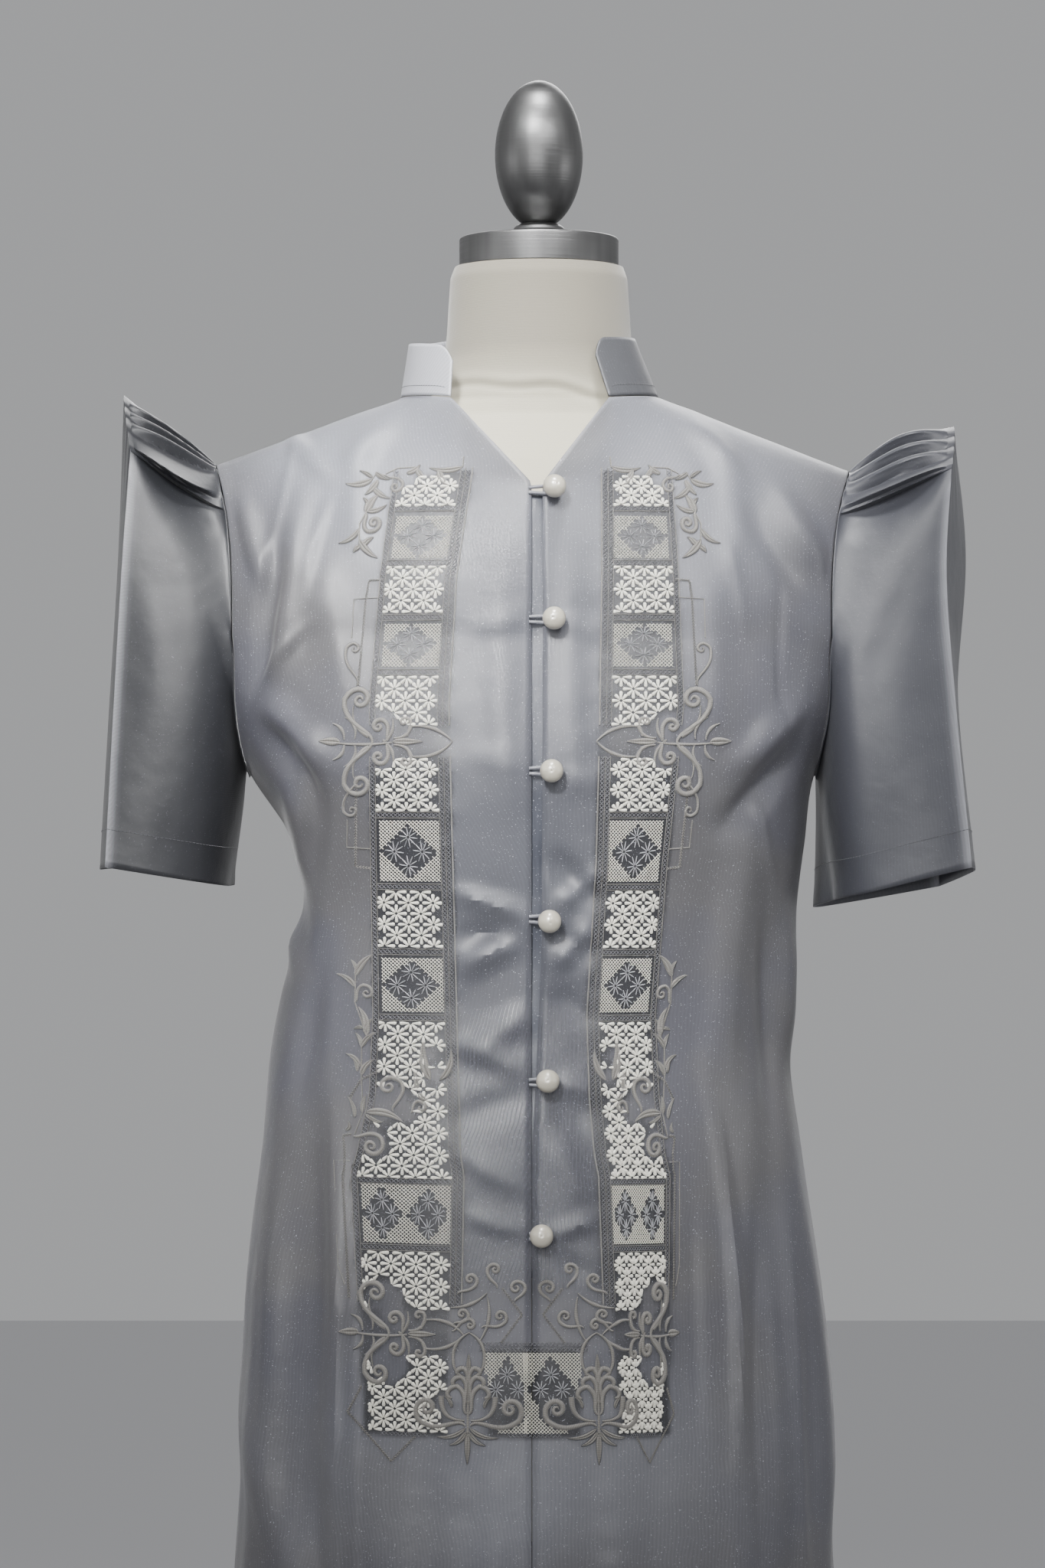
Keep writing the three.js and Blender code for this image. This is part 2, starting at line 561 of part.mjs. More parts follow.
function sleeveRing(table, side, ringShare, onRoof) {
  const rings = onRoof ? table.slice(0, CREST + 1) : table.slice(CREST);
  const corners = SLEEVE_LINES.map((line) => alongSleeve(rings, line, ringShare));
  const middle = corners.reduce((sum, p) => sum.add(p), point(0, 0, 0)).divideScalar(corners.length);
  const seamPull = onRoof ? Math.max(0, 1 - ringShare * 2) ** 2 : 0;
  const pleatShare = onRoof ? ringShare : Math.max(0, 1 - ringShare * 6);
  const swell = PLEAT_HEIGHT.swell * Math.sin(Math.PI * pleatShare);
  const pleat = onRoof
    ? lerp(PLEAT_HEIGHT.seam, PLEAT_HEIGHT.crest, pleatShare) + swell
    : PLEAT_HEIGHT.crest * pleatShare;
  const ring = [];
  corners.forEach((from, s) => {
    const to = corners[(s + 1) % corners.length];
    const chord = to.clone().sub(from);
    const outward = from.clone().add(to).multiplyScalar(0.5).sub(middle);
    outward.addScaledVector(chord, -outward.dot(chord) / chord.lengthSq()).normalize();
    const roofSide = s === 0 || s === corners.length - 1;
    for (let k = 0; k < SIDE_SPANS[s]; k++) {
      const t = k / SIDE_SPANS[s];
      const bulge = SIDE_BULGE[s] * Math.sin(Math.PI * t);
      const fold = roofSide ? pleat * (k % 2 ? 1 : -PLEAT_VALLEY) : 0;
      const p = from.clone().addScaledVector(chord, t).addScaledVector(outward, bulge + fold);
      const seam = armholePoint(side, s < 3 ? "front" : "back", armholeTurn(s, t));
      p.x *= side;
      ring.push(p.lerp(seam.addScaledVector(outward, fold * 0.3), seamPull));
    }
  });
  return side < 0 ? ring.reverse() : ring;
}

function sleeve(table, side) {
  const grid = [];
  for (let k = 0; k < ROOF_RINGS; k++) grid.push(sleeveRing(table, side, k / ROOF_RINGS, true));
  for (let k = 0; k <= DROP_RINGS; k++) grid.push(sleeveRing(table, side, k / DROP_RINGS, false));
  grid.forEach((ring) => ring.forEach((p) => p.setX(p.x + side * ARMHOLE_SEAM)));
  // At the armhole the inner face must not reach back over the seam.
  const turnNormal = (normal, i) => {
    if (i > 0 || normal.x * side < 0) return normal;
    return normal.setX(0).normalize();
  };
  return wallGeometry(grid, { closed: true, turnNormal });
}

// A turned solid about the upright axis. Each profile entry is a radius and a height.
function turned(name, profile, spans, material) {
  const points = profile.map(([radius, height]) => new THREE.Vector2(radius, height));
  const mesh = piece(name, new THREE.LatheGeometry(points, spans), material);
  mesh.rotation.x = QUARTER;
  return mesh;
}

// Dress form, section by section: half width, depth in front and behind, and the section's power.
const FORM = [
  { z: 640, half: 152, front: 100, back: 104, power: 2.3 },
  { z: 660, half: 160, front: 104, back: 110, power: 2.3 },
  { z: 710, half: 167, front: 107, back: 113, power: 2.3 },
  { z: 770, half: 167, front: 107, back: 112, power: 2.3 },
  { z: 840, half: 154, front: 100, back: 100, power: 2.3 },
  { z: 905, half: 136, front: 92, back: 84, power: 2.3 },
  { z: 960, half: 126, front: 86, back: 76, power: 2.3 },
  { z: 1010, half: 129, front: 91, back: 76, power: 2.3 },
  { z: 1060, half: 141, front: 102, back: 82, power: 2.3 },
  { z: 1110, half: 150, front: 109, back: 88, power: 2.3 },
  { z: 1155, half: 160, front: 105, back: 92, power: 2.3 },
  { z: 1200, half: 171, front: 98, back: 93, power: 2.2 },
  { z: 1250, half: 181, front: 90, back: 88, power: 2.1 },
  { z: 1285, half: 187, front: 82, back: 78, power: 1.9 },
  { z: 1300, half: 187, front: 77, back: 70, power: 1.8 },
  { z: 1310, half: 183, front: 73, back: 64, power: 1.7 },
  { z: 1323, half: 148, front: 66, back: 56, power: 1.65 },
  { z: 1340, half: 101, front: 58, back: 53, power: 1.7 },
  { z: 1350, half: 74, front: 56.5, back: 53, power: 1.95 },
  { z: 1361, half: 66, front: 57, back: 54, power: 2 },
  { z: 1378, half: 60.5, front: 56, back: 54, power: 2 },
  { z: 1395, half: 58.8, front: 55.5, back: 54, power: 2 },
  { z: 1430, half: 56.6, front: 54, back: 53, power: 2 },
  { z: 1437, half: 54, front: 51.5, back: 50.5, power: 2 },
];
const FORM_SPANS = 28;

function dressForm() {
  const points = [];
  FORM.forEach((row) => {
    for (let k = 0; k < FORM_SPANS; k++) {
      const turn = (k / FORM_SPANS) * 2 * Math.PI;
      const c = Math.cos(turn);
      const s = Math.sin(turn);
      const depth = c > 0 ? row.front : row.back;
      points.push(
        point(
          Math.sign(s) * row.half * Math.abs(s) ** (2 / row.power),
          -Math.sign(c) * depth * Math.abs(c) ** (2 / row.power),
          row.z,
        ),
      );
    }
  });
  const bottom = points.length;
  points.push(point(0, 0, FORM[0].z), point(0, 0, FORM.at(-1).z));
  const index = [];
  const lastRing = (FORM.length - 1) * FORM_SPANS;
  for (let k = 0; k < FORM_SPANS; k++) {
    const next = (k + 1) % FORM_SPANS;
    for (let i = 0; i < FORM.length - 1; i++) {
      const a = i * FORM_SPANS + k;
      const b = i * FORM_SPANS + next;
      index.push(a, b, b + FORM_SPANS, a, b + FORM_SPANS, a + FORM_SPANS);
    }
    index.push(bottom, next, k, bottom + 1, lastRing + k, lastRing + next);
  }
  return new THREE.BufferGeometry().setFromPoints(points).setIndex(index);
}

// Stand and finial sizes.
const FORM_TOP = FORM.at(-1).z;
const CAP_RADIUS = 51;
const CAP_HEIGHT = 18.6;
const CAP_ROUND = 1.5; // chamfer round its top
const BEAD_RADIUS = 16.4;
const BEAD_HEIGHT = 10.4;
const BEAD_TURN = 0.82; // how far the bead rounds in before the egg's foot, in radians
const EGG_RADIUS = 28.2;
const EGG_HALF_HEIGHT = 47.6;
const EGG_FOOT_RADIUS = 12.2;
const BASE_RADIUS = 190;
const BASE_THICK = 9;
const BASE_ROUND = 2; // chamfer round its top
const SOCKET_RADIUS = 28;
const SOCKET_TAPER = 4;
const SOCKET_HEIGHT = 33;
const POLE_RADIUS = 15;
const TOUCH = 0.3; // gap between two hard pieces that touch

function neckCap() {
  const low = FORM_TOP + TOUCH;
  const high = low + CAP_HEIGHT;
  const rim = [[CAP_RADIUS, high - CAP_ROUND], [CAP_RADIUS - CAP_ROUND, high]];
  const profile = [[0, low], [CAP_RADIUS, low], ...rim, [0, high]];
  return turned("neck_cap", profile, 32, MATERIALS.metal);
}

function finial() {
  const low = FORM_TOP + CAP_HEIGHT + 2 * TOUCH;
  const waist = low + BEAD_HEIGHT;
  const eggMiddle = waist + EGG_HALF_HEIGHT * Math.sqrt(1 - (EGG_FOOT_RADIUS / EGG_RADIUS) ** 2);
  const profile = [[0, low]];
  for (let k = 0; k <= 3; k++) {
    const turn = (k / 3) * BEAD_TURN;
    profile.push([BEAD_RADIUS * Math.cos(turn), low + (BEAD_HEIGHT * Math.sin(turn)) / Math.sin(BEAD_TURN)]);
  }
  const from = -Math.acos(EGG_FOOT_RADIUS / EGG_RADIUS);
  for (let k = 1; k <= 10; k++) {
    const turn = lerp(from, QUARTER, k / 10);
    profile.push([k < 10 ? EGG_RADIUS * Math.cos(turn) : 0, eggMiddle + EGG_HALF_HEIGHT * Math.sin(turn)]);
  }
  return turned("finial", profile, 24, MATERIALS.metal);
}

// A round base plate on the floor, a socket on it, and the pole between the socket and the form.
function stand() {
  const group = new THREE.Group();
  const edge = [[BASE_RADIUS, 0], [BASE_RADIUS, BASE_THICK - BASE_ROUND], [BASE_RADIUS - BASE_ROUND, BASE_THICK]];
  group.add(turned("stand_base", [[0, 0], ...edge, [0, BASE_THICK]], 40, MATERIALS.metal));
  const foot = BASE_THICK + TOUCH;
  const socketTop = foot + SOCKET_HEIGHT;
  const socket = [[0, foot], [SOCKET_RADIUS, foot], [SOCKET_RADIUS - SOCKET_TAPER, socketTop], [0, socketTop]];
  group.add(turned("stand_socket", socket, 24, MATERIALS.metal));
  const low = socketTop + TOUCH;
  const high = FORM[0].z - TOUCH;
  const pole = [[0, low], [POLE_RADIUS, low], [POLE_RADIUS, high], [0, high]];
  group.add(turned("stand_pole", pole, 20, MATERIALS.metal));
  return group;
}

// A pearl on its shank, and the cloth loop that holds it, both laid on the front and tilted with it.
function button(spot, number) {
  const group = new THREE.Group();
  const edge = straight(OPENING, "right", spot.z);
  const foremost = Math.min(frontDepth(edge, spot.z), frontDepth(spot.x, spot.z));
  const lean = (frontDepth(spot.x, spot.z + PEARL_RADIUS) - frontDepth(spot.x, spot.z - PEARL_RADIUS)) / 2;
  group.position.set(spot.x, foremost - BUTTON_LIFT, spot.z);
  group.rotation.x = -Math.atan(lean / PEARL_RADIUS);

  // The pearl's centre is far enough out for the loop to pass behind it.
  const touch = Math.sqrt(PEARL_RADIUS ** 2 - SHANK_RADIUS ** 2);
  const centre = LOOP_THICK + TOUCH + touch;
  const from = -Math.acos(SHANK_RADIUS / PEARL_RADIUS);
  const profile = [new THREE.Vector2(0, 0), new THREE.Vector2(SHANK_RADIUS, 0)];
  for (let k = 0; k <= 8; k++) {
    const turn = lerp(from, QUARTER, k / 8);
    const radius = k < 8 ? PEARL_RADIUS * Math.cos(turn) : 0;
    profile.push(new THREE.Vector2(radius, centre + PEARL_RADIUS * Math.sin(turn)));
  }
  const pearl = piece(`pearl_${number}`, new THREE.LatheGeometry(profile, 12), MATERIALS.pearl);
  pearl.rotation.z = Math.PI;

  // The loop runs out of the right front's edge, round the shank and back.
  const reach = spot.x - edge + LOOP_WIDTH;
  const outerRadius = LOOP_HALF_GAP + LOOP_WIDTH;
  const shape = new THREE.Shape();
  shape.moveTo(-reach, -outerRadius + LOOP_TAPER);
  shape.lineTo(0, -outerRadius);
  shape.absarc(0, 0, outerRadius, -QUARTER, QUARTER, false);
  shape.lineTo(-reach, outerRadius - LOOP_TAPER);
  shape.lineTo(-reach, LOOP_HALF_GAP - LOOP_TAPER);
  shape.lineTo(0, LOOP_HALF_GAP);
  shape.absarc(0, 0, LOOP_HALF_GAP, QUARTER, -QUARTER, true);
  shape.lineTo(-reach, -LOOP_HALF_GAP + LOOP_TAPER);
  const flat = new THREE.ExtrudeGeometry(shape, { depth: LOOP_THICK, bevelEnabled: false, curveSegments: 5 });
  const loop = piece(`loop_${number}`, flat, MATERIALS.sleeve);
  loop.rotation.x = QUARTER;
  group.add(pearl, loop);
  return group;
}

const dress = new THREE.Group();
dress.add(
  piece("front_right", frontPanel(-1), MATERIALS.organza),
  piece("front_left", frontPanel(1), MATERIALS.organza),
  piece("back", backPanel(), MATERIALS.organza),
  piece("opening_strip", openingStrip(), MATERIALS.organza),
  piece("collar", collar(), MATERIALS.organza),
  piece("sleeve_right", sleeve(RIGHT_SLEEVE, -1), MATERIALS.sleeve),
  piece("sleeve_left", sleeve(LEFT_SLEEVE, 1), MATERIALS.sleeve),
);
BUTTONS.forEach((spot, k) => dress.add(button(spot, k + 1)));

const model = new THREE.Group();
model.add(dress, piece("form_torso", dressForm(), MATERIALS.jersey), neckCap(), finial(), stand());

export default model;
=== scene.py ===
"""A sheer organza filipiniana dress on a limbless dress form: its finished surfaces.

Sizes are in millimetres unless a name says otherwise, and meshes are made in metres.
+Z is up, the front faces -Y, and the wearer's right is at -X.
"""

import logging
import math
from collections.abc import Callable, Sequence
from dataclasses import dataclass, field
from enum import Enum
from functools import partial

import bpy
import numpy as np
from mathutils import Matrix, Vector


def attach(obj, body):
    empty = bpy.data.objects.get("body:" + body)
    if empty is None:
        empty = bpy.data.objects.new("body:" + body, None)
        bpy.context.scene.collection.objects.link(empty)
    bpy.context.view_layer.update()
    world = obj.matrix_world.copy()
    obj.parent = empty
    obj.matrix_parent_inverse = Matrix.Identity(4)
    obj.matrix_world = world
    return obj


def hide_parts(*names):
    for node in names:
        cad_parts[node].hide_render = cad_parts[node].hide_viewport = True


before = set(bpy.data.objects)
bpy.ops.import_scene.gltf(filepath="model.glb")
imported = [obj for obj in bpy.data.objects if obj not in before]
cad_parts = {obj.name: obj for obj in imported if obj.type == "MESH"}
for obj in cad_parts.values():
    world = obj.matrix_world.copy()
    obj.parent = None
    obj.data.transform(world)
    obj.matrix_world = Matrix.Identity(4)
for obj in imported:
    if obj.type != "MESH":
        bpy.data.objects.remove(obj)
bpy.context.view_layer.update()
LOG = logging.getLogger("dress")
Array = np.ndarray
Material = bpy.types.Material
Socket = bpy.types.NodeSocket
Numbers = Sequence[float]
Sizes = Array | Numbers | float
MM = 0.001
QUARTER = math.pi / 2


class Side(Enum):
    """Which half of the dress, as the sign of its x."""

    RIGHT = -1
    LEFT = 1

    @property
    def word(self) -> str:
        """The wearer's side in lower case."""
        return self.name.lower()


class Face(Enum):
    """Front or back of the dress, as the sign of its y."""

    FRONT = -1
    BACK = 1

    @property
    def word(self) -> str:
        """The face's name in lower case."""
        return self.name.lower()


def smoothstep(value: Array, low: float, high: float) -> Array:
    """Rises from 0 at low to 1 at high along a cubic with level ends.

    Args:
        value: The numbers to read.
        low: Where the rise starts.
        high: Where it ends.

    Returns:
        The share for each number.
    """
    t = np.clip((np.asarray(value, float) - low) / (high - low), 0.0, 1.0)
    return t * t * (3.0 - 2.0 * t)


def join(*parts: Array) -> Array:
    """Spreads arrays to one shape and joins them, so that each place has its numbers last."""
    return np.stack(np.broadcast_arrays(*parts), axis=-1)


def mix(start: Array, end: Array, share: Array) -> Array:
    """Goes straight from start to end by a share."""
    return start + (end - start) * share


def bell(distance: Array, width: float) -> Array:
    """A Gaussian bell: 1 in the middle and about a third at one width."""
    return np.exp(-((distance / width) ** 2))


class Table:
    """Rows of sizes under named columns, the first of which is the height."""

    def __init__(self, names: str, *rows: Numbers) -> None:
        """Keeps each column as an array under its name."""
        self.columns = dict(zip(names.split(), np.array(rows, float).T))

    def straight(self, name: str, z: Array | float) -> Array:
        """A column at any height, by straight lines between the rows."""
        return np.interp(z, self.columns["z"], self.columns[name])

    def smooth(self, name: str, z: Array) -> Array:
        """A column at any height, by cubics whose slope at a row is that between its neighbours.

        Args:
            name: The column.
            z: Heights.

        Returns:
            The column's values.
        """
        heights, values = self.columns["z"], self.columns[name]
        z = np.clip(z, heights[0], heights[-1])
        i = np.clip(np.searchsorted(heights, z, side="left") - 1, 0, len(heights) - 2)
        reach = np.concatenate([heights[:1], heights, heights[-1:]])
        level = np.concatenate([values[:1], values, values[-1:]])
        slope = (level[2:] - level[:-2]) / (reach[2:] - reach[:-2])
        span = heights[i + 1] - heights[i]
        t = (z - heights[i]) / span
        start = values[i] * (2 * t**3 - 3 * t**2 + 1) + slope[i] * span * (t**3 - 2 * t**2 + t)
        end = values[i + 1] * (3 * t**2 - 2 * t**3) + slope[i + 1] * span * (t**3 - t**2)
        return start + end


@dataclass(frozen=True)
class Fold:
    """A standing fold that opens towards the hem; angles are in degrees from the centre front."""

    angle: float
    spread: float
    height: float
    starts: float
    full: float


@dataclass(frozen=True)
class Crease:
    """A soft ridge, or a trough if its height is negative, from one place of the plan to another."""

    x0: float
    z0: float
    x1: float
    z1: float
    width: float
    height: float
    bow: float = 0.0

    def relief(self, x: Array, z: Array) -> Array:
        """Height over the plan: a ridge with a shallow trough on each side, fading at both ends.

        Args:
            x: Across the plan.
            z: Up the plan.

        Returns:
            How far the cloth stands out.
        """
        run_x, run_z = self.x1 - self.x0, self.z1 - self.z0
        length = math.hypot(run_x, run_z)
        along = ((x - self.x0) * run_x + (z - self.z0) * run_z) / length**2
        across = ((x - self.x0) * run_z - (z - self.z0) * run_x) / length
        t = np.clip(along, 0.0, 1.0)
        across = (across - self.bow * 4 * t * (1 - t)) / (1.15 * self.width)
        ends = smoothstep(along, -0.2, 0.35) * (1 - smoothstep(along, 0.6, 1.2))
        return self.height * ends * (1 - 0.5 * across**2) * np.exp(-(across**2))


BODY = Table(
    "z right left front back",
    (400, 203, 199, 150, 138), (520, 199, 193, 146, 134), (619, 194, 187, 142, 130),
    (680, 190, 189, 140, 128), (776, 187, 181, 134, 124), (874, 177, 168, 122, 112),
    (933, 172, 159, 112, 100), (972, 165, 161, 109, 95), (1031, 150, 165, 113, 92),
    (1070, 157, 170, 119, 95), (1112, 184, 176, 124, 100), (1156, 206, 196, 119, 104),
    (1200, 220, 209, 110, 106),
)
OPENING = Table(
    "z right left",
    (400, -5, -4.6), (880, -5, -4.6), (1000, -5, 1.2), (1200, -5, 2), (1293, -5, 2),
)
FOLDS = tuple(
    Fold(*row) for row in (
        (-66, 7, 4, 1000, 700), (-53, 6, -5, 990, 690), (-40, 7, 5, 980, 640), (-18, 9, 3, 720, 430),
        (4, 9, 3, 700, 430), (25, 8, -3, 800, 450), (44, 7, 4, 960, 650), (57, 6, -4, 970, 680),
        (70, 7, 4, 990, 700), (104, 8, -4, 1000, 680), (124, 9, 5, 960, 600), (146, 9, -4, 940, 560),
        (168, 10, 5, 980, 620), (192, 10, -4, 930, 560), (214, 9, 5, 970, 640), (236, 9, -4, 950, 600),
        (256, 8, 4, 990, 690),
    )
)
# Slanting drapes of the solids: top x and z, end x and z, spread, height.
DRAPES = (
    (-150, 1300, -182, 1215, 9, 3), (-132, 1262, -168, 1165, 11, 3.5),
    (-126, 1180, -152, 1070, 12, 3.5), (150, 1290, 170, 1190, 11, 3), (136, 1180, 152, 1070, 12, 3),
)
# Creases of the front, seen from the front: the wearer's right has negative x.
FRONT_CREASES = tuple(
    Crease(*row) for row in (
        # Pulls at the buttons.
        (-6, 1026, -56, 1042, 6, 1.9), (-6, 1013, -50, 1015, 7, -1.9), (10, 1031, 38, 1054, 5, 1.8),
        (10, 1017, 33, 1000, 6, -1.6), (-6, 930, -52, 949, 7, 1.8), (-6, 917, -48, 903, 8, -1.6),
        (10, 926, 38, 916, 6, 1.7), (8, 912, 32, 896, 6, -1.2), (-8, 833, -44, 843, 5, 1.4),
        (8, 833, 34, 840, 4, 1.9), (8, 821, 30, 806, 5, -1.3), (-8, 1117, -47, 1126, 9, 0.5),
        (14, 1113, 38, 1104, 8, 0.6), (-8, 1208, -44, 1202, 7, 0.9), (14, 1206, 38, 1199, 6, 0.8),
        # Slack of the placket between the bands.
        (-4, 1020, -50, 992, 8, 2.2), (-4, 968, -40, 943, 9, 1.9), (-4, 858, -46, 878, 8, 1.4),
        (6, 1064, 34, 1035, 7, -2.2), (9, 995, 33, 1021, 6, 2.0), (6, 892, 28, 852, 9, 1.7),
        (8, 980, 34, 960, 8, -1.4), (-24, 1250, -20, 1060, 11, 0.9), (20, 1260, 24, 1090, 9, 0.8, 2),
        # The wearer's right side, from the armhole to the hip.
        (-160, 1258, -178, 1160, 9, -3.2), (-148, 1284, -166, 1172, 9, 2.6),
        (-188, 1290, -171, 1230, 7, 2.0), (-172, 1160, -126, 1114, 11, 2.9),
        (-166, 1142, -136, 1086, 10, -3.2), (-156, 1114, -141, 1034, 8, 2.4),
        (-122, 1082, -139, 960, 10, 2.2, 4), (-131, 1022, -154, 902, 9, -2.4),
        (-160, 1040, -152, 985, 6, 2.0), (-126, 893, -124, 560, 7, 2.7, -3),
        (-139, 880, -139, 540, 9, -2.7, 3), (-163, 842, -170, 640, 8, 2.4),
        (-188, 730, -120, 560, 14, 2.4, 8), (-150, 640, -146, 402, 8, 2.2),
        (-112, 660, -104, 402, 9, -2.2), (-155, 1321, -180, 1222, 3.5, 0.8, -3),
        (-141, 1207, -180, 1157, 3.5, 1.1, 4), (-157, 1133, -145, 1059, 3.5, 0.9, -3),
        (-128, 1290, -146, 1222, 4.0, 0.7, 3),
        # The wearer's left side.
        (150, 1232, 152, 1145, 3.5, -0.8, 2), (112, 1262, 128, 1196, 4.0, 0.7, -3),
        (134, 1104, 150, 1040, 3.5, 0.8, 2), (128, 1282, 170, 1220, 9, -2.6),
        (148, 1292, 178, 1240, 8, 2.2), (118, 1114, 166, 1158, 10, 2.6),
        (114, 1079, 160, 1128, 9, -2.8), (126, 1062, 114, 912, 12, 2.1, 4),
        (143, 1036, 146, 890, 8, -2.6), (158, 1020, 155, 930, 6, 2.0), (104, 918, 120, 672, 5, 2.0, -9),
        (92, 860, 96, 700, 7, -1.4), (137, 842, 143, 560, 8, -2.4, 3), (155, 822, 165, 520, 7, 2.4),
        (120, 640, 128, 402, 9, 2.2),
        # The middle below the embroidery.
        (-26, 694, -30, 402, 11, 1.7), (-2, 690, 2, 402, 8, 1.6), (30, 688, 26, 402, 10, -1.6),
        (66, 690, 72, 402, 12, -2.2), (-66, 690, -74, 402, 11, -1.8), (50, 640, 48, 402, 8, 1.4),
        # The yoke beside the collar.
        (-90, 1338, -126, 1300, 8, 1.5), (-158, 1326, -128, 1297, 7, 1.7),
        (-106, 1332, -112, 1250, 10, 1.2, 5), (92, 1338, 127, 1298, 8, 1.3),
        (110, 1326, 120, 1240, 10, 1.3, -6), (-134, 1236, -118, 1160, 12, 1.5),
        (104, 1230, 112, 1130, 12, 1.4),
    )
)
# Creases of the back, seen from the front as well.
BACK_CREASES = tuple(
    Crease(*row) for row in (
        (-30, 1340, -70, 1290, 9, 1.3), (26, 1342, 64, 1286, 9, 1.3), (-120, 1318, -150, 1240, 9, 1.8),
        (118, 1314, 148, 1236, 9, 1.8), (-172, 1240, -140, 1150, 10, -2.6),
        (166, 1240, 138, 1150, 10, -2.6), (-176, 1190, -120, 1110, 11, 2.6),
        (170, 1186, 112, 1104, 11, 2.6), (-60, 1240, -44, 1040, 14, 1.6, 6),
        (52, 1240, 40, 1030, 14, 1.5, -6), (-110, 1090, -60, 1000, 10, 2.3),
        (108, 1080, 58, 996, 10, 2.3), (-130, 1040, -70, 960, 9, -2.2), (128, 1030, 70, 952, 9, -2.2),
        (0, 1100, 4, 900, 12, 1.6), (-96, 930, -104, 560, 9, 2.4, 5),
        (-60, 900, -66, 500, 10, -2.2, -4), (-24, 880, -18, 402, 11, 2.2, 4),
        (22, 900, 28, 402, 9, -2.0, -5), (58, 930, 66, 520, 10, 2.3, 5),
        (104, 910, 112, 402, 9, -2.3, 4), (-140, 820, -150, 402, 9, 2.4), (142, 830, 150, 420, 9, 2.3),
        (-40, 600, -44, 402, 9, 1.6), (84, 640, 88, 402, 9, 1.6), (-118, 600, -124, 402, 8, -1.8),
    )
)


